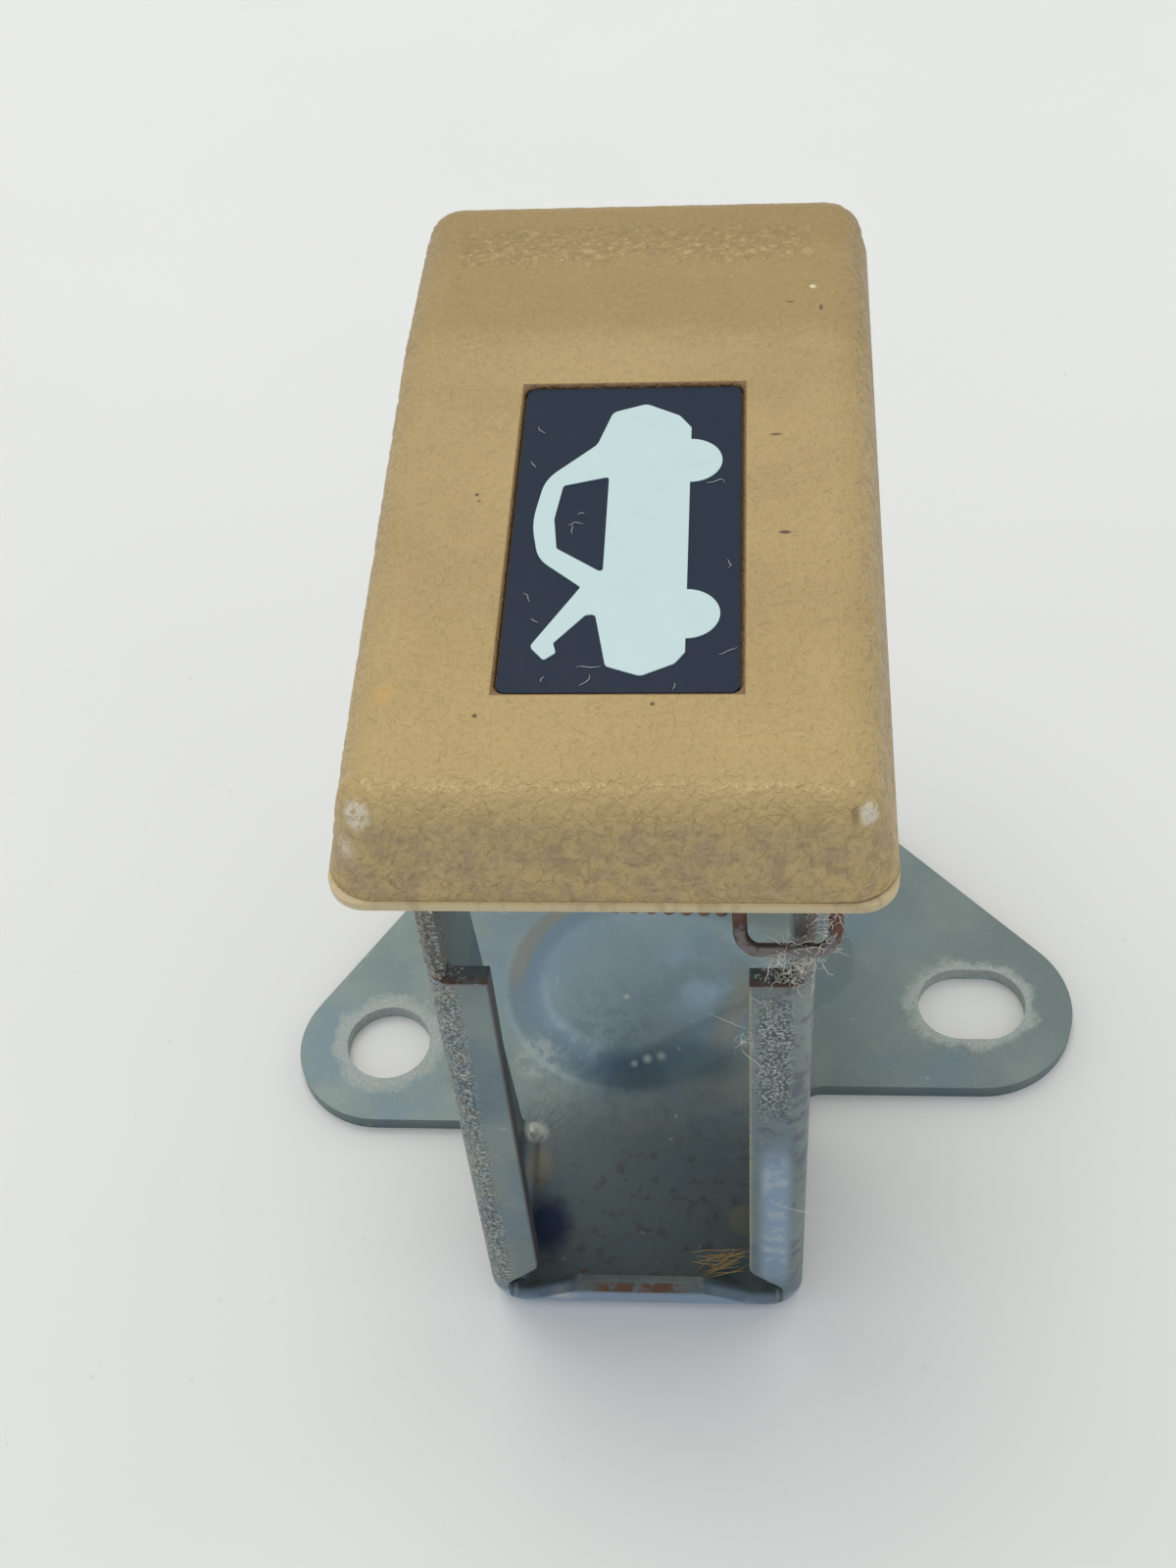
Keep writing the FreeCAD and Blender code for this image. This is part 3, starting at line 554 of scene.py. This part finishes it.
def loop(left, right, front, rear, radius):
    """Points round a rounded rectangle, anticlockwise from the front's left end."""
    corners = [
        (right - radius, front + radius, -90),
        (right - radius, rear - radius, 0),
        (left + radius, rear - radius, 90),
        (left + radius, front + radius, 180),
    ]
    points = []
    previous = (left + radius, front)
    for index, (x, y, start_deg) in enumerate(corners):
        start = math.radians(start_deg)
        target = (x + radius * math.cos(start), y + radius * math.sin(start))
        count = FRONT_POINTS if index % 2 == 0 else SIDE_POINTS
        for step in range(count):
            share = step / count
            points.append((
                previous[0] + (target[0] - previous[0]) * share,
                previous[1] + (target[1] - previous[1]) * share,
            ))
        for step in range(CORNER_POINTS):
            angle = start + math.radians(90) * step / CORNER_POINTS
            points.append((x + radius * math.cos(angle), y + radius * math.sin(angle)))
        end = start + math.radians(90)
        previous = (x + radius * math.cos(end), y + radius * math.sin(end))
    return points


def top_height(y):
    """The cover's top: level, a gentle bend, then a fall to the free end."""
    top = COVER_HIGH.z
    run = COVER_HIGH.y - END_DRAFT * (SLOPE_END_Z - COVER_LOW.z) - SLOPE_START
    fall = math.atan2(top - SLOPE_END_Z, run)
    bend_start = SLOPE_START - SLOPE_BLEND_R * math.tan(fall / 2)
    bend_end = bend_start + SLOPE_BLEND_R * math.sin(fall)
    if y <= bend_start:
        return top
    if y <= bend_end:
        return top - SLOPE_BLEND_R + math.sqrt(SLOPE_BLEND_R ** 2 - (y - bend_start) ** 2)
    return top - (y - SLOPE_START) * math.tan(fall)


def end_share(index):
    """1 on the front and rear stretches of a loop, 0 on its sides, and smooth round its corners."""
    half = FRONT_POINTS + SIDE_POINTS + 2 * CORNER_POINTS
    position = index % half
    if position < FRONT_POINTS:
        return 1.0
    if position < FRONT_POINTS + CORNER_POINTS:
        return math.cos(math.radians(90) * (position - FRONT_POINTS) / CORNER_POINTS) ** 2
    if position < FRONT_POINTS + CORNER_POINTS + SIDE_POINTS:
        return 0.0
    past = position - FRONT_POINTS - CORNER_POINTS - SIDE_POINTS
    return math.sin(math.radians(90) * past / CORNER_POINTS) ** 2


def walls_at(height, inset):
    """left, right, front and rear of the drafted walls, height above the cover's bottom."""
    side = FRONT_HALF - inset - SIDE_DRAFT * height
    front = COVER_LOW.y + inset + END_DRAFT * height
    rear = COVER_HIGH.y - inset - END_DRAFT * height
    return (MIDDLE_X - side, MIDDLE_X + side, front, rear)


def flared(flat, height):
    """A loop widened towards the free end, as the handle is, at a height above its bottom."""
    points = []
    full_extra = REAR_HALF - FRONT_HALF + (SIDE_DRAFT - REAR_SIDE_DRAFT) * height
    for x, y in flat:
        share = (y - COVER_LOW.y) / (COVER_HIGH.y - COVER_LOW.y)
        wider = 1 + full_extra * share / FRONT_HALF
        points.append((MIDDLE_X + (x - MIDDLE_X) * wider, y))
    return points


def skin_rings(inset, edge_r, wall_steps, edge_steps):
    """Rings of 3-D points from the bottom, up the walls and round the top edge."""
    drafts = (math.atan(SIDE_DRAFT), math.atan(END_DRAFT))
    full = COVER_HIGH.z - inset - COVER_LOW.z
    drop = edge_r * (1 - math.sin(drafts[0]))
    plan_r = max(edge_r, PLAN_R - inset)
    rings = []
    for step in range(wall_steps):
        share = step / wall_steps
        height = (full - drop) * share
        flat = flared(loop(*walls_at(height, inset), plan_r), height)
        rings.append([
            Vector((x, y, COVER_LOW.z + (top_height(y) - inset - drop - COVER_LOW.z) * share))
            for x, y in flat
        ])
    for step in range(edge_steps + 1):
        share = step / edge_steps
        turns = [angle + (math.pi / 2 - angle) * share for angle in drafts]
        ins = [edge_r * (math.cos(angle) - math.cos(turn)) for angle, turn in zip(drafts, turns)]
        left, right, front, rear = walls_at(full - drop, inset)
        corner = max(plan_r - max(ins), 0.15)
        flat = loop(left + ins[0], right - ins[0], front + ins[1], rear - ins[1], corner)
        flat = flared(flat, full - drop + drop * share)
        ring = []
        for index, (x, y) in enumerate(flat):
            lift_side = edge_r * (1 - math.sin(turns[0]))
            lift_end = edge_r * (1 - math.sin(turns[1]))
            first_gap = edge_r * (math.sin(drafts[1]) - math.sin(drafts[0])) * (1 - share)
            lift = lift_side + (lift_end + first_gap - lift_side) * end_share(index)
            ring.append(Vector((x, y, top_height(y) - inset - lift)))
        rings.append(ring)
    return rings


def between(ring, target, share, inset=0.0):
    """Part of the way from a ring to a flat loop, kept on the cover's top surface."""
    points = []
    for point, (x, y) in zip(ring, target):
        new_x = point.x + (x - point.x) * share
        new_y = point.y + (y - point.y) * share
        points.append(Vector((new_x, new_y, top_height(new_y) - inset)))
    return points


def smooth_step(value, low, high):
    share = min(1.0, max(0.0, (value - low) / (high - low)))
    return share * share * (3 - 2 * share)


def grain_at(point, normal, recess):
    """The leather grain at a point: how deep it is pressed in, and 0 to 1 how much of a valley it is."""
    left, right, front, rear = recess
    beyond = max(left - point.x, point.x - right, front - point.y, point.y - rear)
    clear = smooth_step(beyond, 0.5, 1.3) * smooth_step(point.z, COVER_LOW.z + 0.4, COVER_LOW.z + 1.0)
    top = smooth_step(normal.z, 0.55, 0.95)
    wander = noise.noise_vector(point * 0.6) * 0.8
    distances = noise.voronoi(point * 0.72 + wander)[0]
    valley = 1 - smooth_step(distances[1] - distances[0], 0.0, 0.24)
    fine = noise.voronoi(point * 1.5 + wander * 2)[0]
    small_valley = 1 - smooth_step(fine[1] - fine[0], 0.0, 0.28)
    swell = 0.5 + 0.5 * noise.noise(point * 0.9)
    sides = 0.085 * valley + 0.02 * small_valley + 0.03 * swell
    worn = 0.028 * valley * (0.3 + 0.7 * swell) + 0.014 * small_valley + 0.03 * swell
    ridge = smooth_step(point.y, RIDGE[0], RIDGE[0] + 1.2) * top
    ridge *= 1 - smooth_step(point.y, RIDGE[1] - 1.0, RIDGE[1] + 0.6)
    worn += ridge * 0.06 * (0.5 + 0.5 * noise.noise(point * 2.4))
    return clear * (sides + (worn - sides) * top), clear * valley


def cover_piece():
    """The cover as a closed shell: grained outside, label recess, smooth hollow and two bosses."""
    recess = (
        LABEL_LOW.x - RECESS_GAP, LABEL_HIGH.x + RECESS_GAP,
        LABEL_LOW.y - RECESS_GAP, LABEL_HIGH.y + RECESS_GAP,
    )
    left, right, front, rear = recess
    lip = RECESS_LIP
    rings = skin_rings(0.0, EDGE_R, 16, 16)
    for index, point in enumerate(rings[0]):
        from_corner = (point - Vector((FRONT_HALF, COVER_LOW.y, COVER_LOW.z))).length
        nearness = max(0.0, 1 - from_corner / SEAM_REACH)
        rings[0][index] = point + Vector((0, 0, SEAM + SEAM_OPEN * nearness * nearness))
    groove = [
        Vector((point.x * 0.992, MIDDLE_Y + (point.y - MIDDLE_Y) * 0.996, point.z - SEAM / 2))
        for point in rings[0]
    ]
    outer_rim = loop(left - lip, right + lip, front - lip, rear + lip, RECESS_CORNER_R + lip)
    last = rings[-1]
    top_steps = 60
    for step in range(1, top_steps + 1):
        rings.append(between(last, outer_rim, step / top_steps))
    grained = len(rings)
    for step in range(1, 5):
        angle = math.radians(90) * step / 4
        spread = lip * (1 - math.sin(angle))
        corner = RECESS_CORNER_R + spread
        flat = loop(left - spread, right + spread, front - spread, rear + spread, corner)
        rings.append([
            Vector((x, y, COVER_HIGH.z - lip * (1 - math.cos(angle)))) for x, y in flat
        ])
    floor = COVER_HIGH.z - RECESS_DEPTH
    rings.append([Vector((x, y, floor)) for x, y in loop(*recess, RECESS_CORNER_R)])

    hollow = skin_rings(WALL, INNER_EDGE_R, 3, 3)
    start, end = CEILING_SPINE
    spine = [
        (0.0, start + (end - start) * (y - front) / (rear - front))
        for x, y in loop(*recess, 0.5)
    ]
    ceiling = hollow[-1]
    for step in range(1, 7):
        hollow.append(between(ceiling, spine, step / 6, WALL))

    all_rings = hollow[::-1] + [groove] + rings
    count = len(groove)
    vertices = [point for ring in all_rings for point in ring]
    faces = []
    for row in range(len(all_rings) - 1):
        for index in range(count):
            following = (index + 1) % count
            faces.append((
                row * count + index, row * count + following,
                (row + 1) * count + following, (row + 1) * count + index,
            ))
    last_row = (len(all_rings) - 1) * count
    faces.append(tuple(range(last_row, last_row + count)))

    mesh = bpy.data.meshes.new("cover_skin")
    mesh.from_pydata([tuple(point) for point in vertices], [], faces)
    mesh.update()
    first = (len(hollow) + 1) * count
    skin = mesh.vertices[first:first + grained * count]
    normals = [vertex.normal.copy() for vertex in skin]
    valleys = mesh.attributes.new("valley", "FLOAT", "POINT")
    for vertex, normal in zip(skin, normals):
        depth, valley = grain_at(vertex.co, normal, recess)
        vertex.co = vertex.co - normal * depth
        valleys.data[vertex.index].value = valley
    add_bosses(mesh)
    return made_piece("cover_skin", mesh, merge=0.0005)


def add_bosses(mesh):
    """Two tubes under the ceiling that take the screws, each a closed ring of its own."""
    work = bmesh.new()
    work.from_mesh(mesh)
    root = COVER_HIGH.z - WALL + 0.3
    bore = SCREW_R + 0.05
    profile = [
        (BOSS_R, root), (BOSS_R, LEVER_TOP + 0.2), (BOSS_R - 0.2, LEVER_TOP),
        (bore + 0.2, LEVER_TOP), (bore, LEVER_TOP + 0.2), (bore, root),
    ]
    turns = [math.tau * step / BOSS_SIDES for step in range(BOSS_SIDES)]
    for y in BOSS_Y:
        sections = []
        for radius, z in profile:
            sections.append([
                work.verts.new((radius * math.cos(turn), y + radius * math.sin(turn), z))
                for turn in turns
            ])
        for section, following in zip(sections, sections[1:] + sections[:1]):
            for step in range(BOSS_SIDES):
                ahead = (step + 1) % BOSS_SIDES
                work.faces.new((section[step], following[step], following[ahead], section[ahead]))
    work.to_mesh(mesh)
    work.free()


def made_piece(name, mesh, merge=0.0):
    """An object from a mesh in mm: welded, its normals outwards, smooth but for sharp corners."""
    work = bmesh.new()
    work.from_mesh(mesh)
    if merge:
        bmesh.ops.remove_doubles(work, verts=work.verts, dist=merge)
    bmesh.ops.recalc_face_normals(work, faces=work.faces)
    bmesh.ops.scale(work, vec=(MM, MM, MM), verts=work.verts)
    work.to_mesh(mesh)
    work.free()
    mesh.shade_smooth()
    mesh.set_sharp_from_angle(angle=math.radians(50))
    piece = bpy.data.objects.new(name, mesh)
    bpy.context.scene.collection.objects.link(piece)
    return piece


# ---- Dirt and fibres ---------------------------------------------------------------------------

FIBRE_FRONT = -5.7  # no fibre reaches further forward than this


def strand(vertices, faces, points, radius):
    """Adds a thin closed tube along a line of points."""
    sides = 5
    first = len(vertices)
    for index, point in enumerate(points):
        ahead = points[min(index + 1, len(points) - 1)] - points[max(index - 1, 0)]
        turn = ahead.to_track_quat("Z", "Y")
        share = index / (len(points) - 1)
        width = radius * (0.35 + 0.65 * math.sin(math.pi * min(max(share, 0.06), 0.94)))
        for side in range(sides):
            angle = math.tau * side / sides
            vertices.append(point + turn @ Vector((math.cos(angle), math.sin(angle), 0)) * width)
    for index in range(len(points) - 1):
        row = first + index * sides
        for side in range(sides):
            ahead = (side + 1) % sides
            faces.append((row + side, row + ahead, row + sides + ahead, row + sides + side))
    faces.append(tuple(first + side for side in reversed(range(sides))))
    last = first + (len(points) - 1) * sides
    faces.append(tuple(last + side for side in range(sides)))


def curled(draw, start, heading, length, curl, flatness, steps=10):
    """A wandering line that sets out along heading and turns a little at each step."""
    points = [Vector(start)]
    direction = Vector(heading).normalized()
    for step in range(steps):
        push = Vector((draw.uniform(-1, 1), draw.uniform(-1, 1), draw.uniform(-1, 1)))
        direction = (direction + Vector(a * b for a, b in zip(push, flatness)) * curl).normalized()
        point = points[-1] + direction * length / steps
        point.y = max(point.y, FIBRE_FRONT)
        points.append(point)
    return points


def tuft(draw, vertices, faces, count, low, high, length, radius, curl, flatness):
    """Fibres that start anywhere in a box and set out in any direction."""
    for number in range(count):
        start = [draw.uniform(a, b) for a, b in zip(low, high)]
        heading = [draw.uniform(-1, 1) * flat + 1e-4 for flat in flatness]
        reach = draw.uniform(*length)
        points = curled(draw, start, heading, reach, curl, flatness)
        strand(vertices, faces, points, draw.uniform(*radius))


def fibre_piece(name, fill, body, material):
    vertices = []
    faces = []
    fill(vertices, faces)
    mesh = bpy.data.meshes.new(name)
    mesh.from_pydata([tuple(point) for point in vertices], [], faces)
    piece = made_piece(name, mesh)
    mesh.materials.append(material)
    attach(piece, body)
    return piece


def pale_lint(vertices, faces):
    draw = random.Random(11)
    tufts = [
        (90, (9.7, -5.1, 49.9), (12.6, -4.2, 51.8), (0.5, 2.0), (0.012, 0.03), 0.6),
        (60, (12.4, -4.9, 50.6), (13.5, -3.6, 54.6), (0.4, 1.6), (0.012, 0.03), 0.7),
        (40, (10.0, -4.2, 46.6), (11.8, -3.8, 49.8), (0.4, 1.6), (0.012, 0.028), 0.7),
        (26, (7.6, -4.2, 39.6), (8.4, -3.9, 41.0), (0.3, 1.1), (0.01, 0.02), 0.9),
        (24, (8.6, -4.2, 36.0), (10.6, -4.05, 45.0), (0.3, 1.0), (0.01, 0.018), 0.8),
    ]
    for form in tufts:
        tuft(draw, vertices, faces, *form, (1, 0.35, 1))
    paths = [
        ((8.0, -4.1, 41.5), (-0.5, 0, 0.5), 3.0, 0.35),
        ((7.9, -4.1, 40.0), (-0.6, 0, -1), 5.5, 0.22),
        ((9.7, -4.1, 19.0), (0.3, 0, -1), 9.0, 0.3),
        ((12.1, -3.2, 50.0), (0.1, 0, -1), 11.0, 0.12),
        ((8.3, -4.1, 45.6), (-0.2, 0, -1), 3.0, 0.4),
    ]
    for start, heading, length, curl in paths:
        points = curled(draw, start, heading, length, curl, (1, 0, 0.4), 24)
        strand(vertices, faces, points, 0.02)


def straw(vertices, faces):
    draw = random.Random(5)
    for number in range(18):
        start = (draw.uniform(6.9, 8.3), draw.uniform(-1.6, 0.6), draw.uniform(1.75, 2.9))
        heading = (-1, draw.uniform(-1.0, -0.1), draw.uniform(-0.12, 0.3))
        points = curled(draw, start, heading, draw.uniform(2.4, 5.0), 0.16, (1, 1, 0.3))
        strand(vertices, faces, points, draw.uniform(0.03, 0.055))


def label_hairs(vertices, faces):
    draw = random.Random(3)
    level = LABEL_HIGH.z + 0.1
    places = [
        (-5.2, 27.2), (-3.2, 18.4), (-2.2, 19.4), (-2.9, 17.6), (6.6, 22.2), (6.9, 14.5), (6.4, 7.2),
        (-2.0, 6.2), (-1.2, 5.6), (-4.0, 5.0), (3.9, 4.9), (-5.6, 23.8), (-5.6, 12.4), (-5.0, 10.2),
    ]
    for x, y in places:
        heading = (draw.uniform(-1, 1), draw.uniform(-1, 1), 0)
        length = draw.uniform(0.5, 1.5)
        points = curled(draw, (x, y, level), heading, length, 0.45, (1, 1, 0), 18)
        strand(vertices, faces, points, 0.016)


def on_bend(side, turn_deg, z):
    """A point on an arm's rounded front corner, turn_deg round from its outer face."""
    turn = math.radians(turn_deg)
    x = BEND_CENTRE[0] + BEND_R * math.cos(turn)
    return Vector((side * x, BEND_CENTRE[1] - BEND_R * math.sin(turn), z))


def grains(vertices, faces):
    """A crust of small angular grains where dirt has packed round the arms' tops."""
    draw = random.Random(21)
    corners = [
        (-1, (15, 55), (46.9, 53.8), 70),
        (-1, (52, 72), (46.5, 47.2), 22),
        (1, (20, 55), (46.9, 54.0), 130),
        (1, (50, 80), (46.4, 48.2), 40),
    ]
    for side, turns, heights, count in corners:
        for number in range(count):
            centre = on_bend(side, draw.uniform(*turns), draw.uniform(*heights))
            add_grain(vertices, faces, draw, centre, draw.uniform(0.05, 0.16))
    for number in range(90):
        rise = draw.random() ** 2
        centre = Vector((draw.uniform(9.7 + rise, 11.4), draw.uniform(-3.8, -3.0), LIP_TOP + 2.4 * rise))
        add_grain(vertices, faces, draw, centre, draw.uniform(0.06, 0.18))
    for low_x, high_x, count in ((-10.9, -9.6, 14), (8.6, 11.0, 34)):
        for number in range(count):
            centre = Vector((draw.uniform(low_x, high_x), draw.uniform(-3.7, -2.6), LIP_TOP + 0.03))
            add_grain(vertices, faces, draw, centre, draw.uniform(0.05, 0.15))


def add_grain(vertices, faces, draw, centre, size):
    """An uneven eight-sided crumb."""
    first = len(vertices)
    turn = Euler([draw.uniform(0, math.tau) for axis in range(3)])
    for axis in range(3):
        for sign in (1, -1):
            corner = Vector((0, 0, 0))
            corner[axis] = sign * size * draw.uniform(0.6, 1.2)
            corner.rotate(turn)
            vertices.append(centre + corner)
    for a in (0, 1):
        for b in (2, 3):
            for c in (4, 5):
                faces.append((first + a, first + b, first + c))


# ---- Pieces, materials and what they ride on -----------------------------------------------------


def dress(node, material, bevel=0.0):
    """Gives a CAD node its material, and softens its sharp edges."""
    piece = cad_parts[node]
    piece.data.materials.clear()
    piece.data.materials.append(material)
    if bevel:
        weld = piece.modifiers.new("weld", "WELD")
        weld.merge_threshold = 0.002 * MM
        soften = piece.modifiers.new("soften", "BEVEL")
        soften.width = bevel * MM
        soften.segments = 2
        soften.limit_method = "ANGLE"
        soften.angle_limit = math.radians(32)
        soften.harden_normals = False
        shade = piece.modifiers.new("shade", "WEIGHTED_NORMAL")
        shade.keep_sharp = False
        for face in piece.data.polygons:
            face.use_smooth = True
    return piece


dress("bracket", zinc(), 0.12)
lever_steel = rusty_steel("lever_steel", srgb(120, 128, 128), 0.52, 0.66)
dress("lever", lever_steel, 0.12)
dress("pivot_pin", rusty_steel("pin_steel", srgb(140, 142, 138), 0.5, 0.7))
dress("handle_screws", rusty_steel("screw_steel", srgb(150, 148, 130), 0.55, 0.7))
nylon = moulded_plastic("nylon", srgb(206, 202, 188), srgb(222, 219, 208), 0.4)
dress("bush_left", nylon)
dress("bush_right", nylon)
spring_steel = rusty_steel("spring_steel", srgb(118, 112, 108), 0.52, 0.66, 52.4)
dress("return_spring", spring_steel)
dress("return_spring_arm", spring_steel)
dress("handle_base", smooth_tan(), 0.18)
navy = moulded_plastic("label_navy", srgb(16, 32, 52), srgb(22, 38, 58), 0.3, 0.2)
dress("label_plate", navy, 0.06)
pale = moulded_plastic("label_pale", srgb(188, 210, 210), srgb(194, 215, 214), 0.38)
dress("pictogram", pale)

cover = cover_piece()
cover.data.materials.append(cover_leather())
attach(cover, "handle")
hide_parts("handle_cover")

lint = plain_fibre("lint", srgb(196, 190, 172), srgb(228, 226, 216))
fibre_piece("lint_fibres", pale_lint, "bracket", lint)
fibre_piece("straw_fibres", straw, "bracket", plain_fibre("straw", srgb(150, 118, 70), srgb(196, 164, 108)))
fibre_piece("label_hairs", label_hairs, "handle", lint)
crust = plain_fibre("crust", srgb(96, 84, 66), srgb(196, 192, 176))
fibre_piece("dirt_crust", grains, "bracket", crust)


# ---- Floor, light and camera ---------------------------------------------------------------------


def floor_material():
    paint = Paint("floor_white")
    colour = paint.mix(paint.noise(0.02, 2.0), srgb(226, 226, 222), srgb(232, 232, 229))
    specks = paint.times(paint.band(paint.noise(0.9, 4.0), 0.68, 0.74), 0.3)
    colour = paint.mix(specks, colour, srgb(196, 196, 194))
    return paint.finish(colour, 0.7, specular=0.2)


def make_floor():
    half = 3.0
    mesh = bpy.data.meshes.new("floor")
    level = cad_bounds[0].z
    corners = [(-half, -half, level), (half, -half, level), (half, half, level), (-half, half, level)]
    mesh.from_pydata(corners, [], [(0, 1, 2, 3)])
    mesh.materials.append(floor_material())
    floor = bpy.data.objects.new("floor", mesh)
    bpy.context.scene.collection.objects.link(floor)


def soft_light(name, place, size, power, colour):
    """A square lamp, aimed at the middle of the object."""
    data = bpy.data.lights.new(name, "AREA")
    data.size = size
    data.energy = power
    data.color = colour
    lamp = bpy.data.objects.new(name, data)
    bpy.context.scene.collection.objects.link(lamp)
    lamp.location = place
    aim = Vector((0, 0.02, 0.03)) - Vector(place)
    lamp.rotation_euler = aim.to_track_quat("-Z", "Y").to_euler()


def make_world():
    """Soft light from all round: warmer overhead and behind, bluer in front."""
    world = bpy.data.worlds.new("studio")
    bpy.context.scene.world = world
    world.use_nodes = True
    nodes = world.node_tree.nodes
    links = world.node_tree.links
    direction = nodes.new("ShaderNodeTexCoord").outputs["Generated"]
    towards = nodes.new("ShaderNodeVectorMath")
    towards.operation = "DOT_PRODUCT"
    links.new(direction, towards.inputs[0])
    towards.inputs[1].default_value = (0.05, 0.5, 0.86)
    spread = nodes.new("ShaderNodeMapRange")
    spread.inputs[1].default_value = -0.35
    spread.inputs[2].default_value = 0.8
    links.new(towards.outputs["Value"], spread.inputs[0])
    blend = nodes.new("ShaderNodeMix")
    blend.data_type = "RGBA"
    links.new(spread.outputs[0], blend.inputs["Factor"])
    blend.inputs[6].default_value = (0.68, 0.78, 1.0, 1)
    blend.inputs[7].default_value = (0.87, 0.87, 0.83, 1)
    background = nodes["Background"]
    links.new(blend.outputs[2], background.inputs["Color"])
    background.inputs["Strength"].default_value = 0.92


def make_camera():
    data = bpy.data.cameras.new("camera")
    data.sensor_width = 36
    data.lens = 46.82
    data.clip_start = 0.005
    camera = bpy.data.objects.new("camera", data)
    bpy.context.scene.collection.objects.link(camera)
    camera.location = (0.00839, -0.07571, 0.15249)
    camera.rotation_euler = [math.radians(angle) for angle in (39.75, 3.52, 2.98)]
    bpy.context.scene.camera = camera


make_floor()
make_world()
soft_light("window", (-0.15, 0.30, 0.90), 0.6, 2.6, (1.0, 0.98, 0.94))
make_camera()
bpy.context.scene.view_settings.view_transform = "Standard"

bpy.context.view_layer.update()
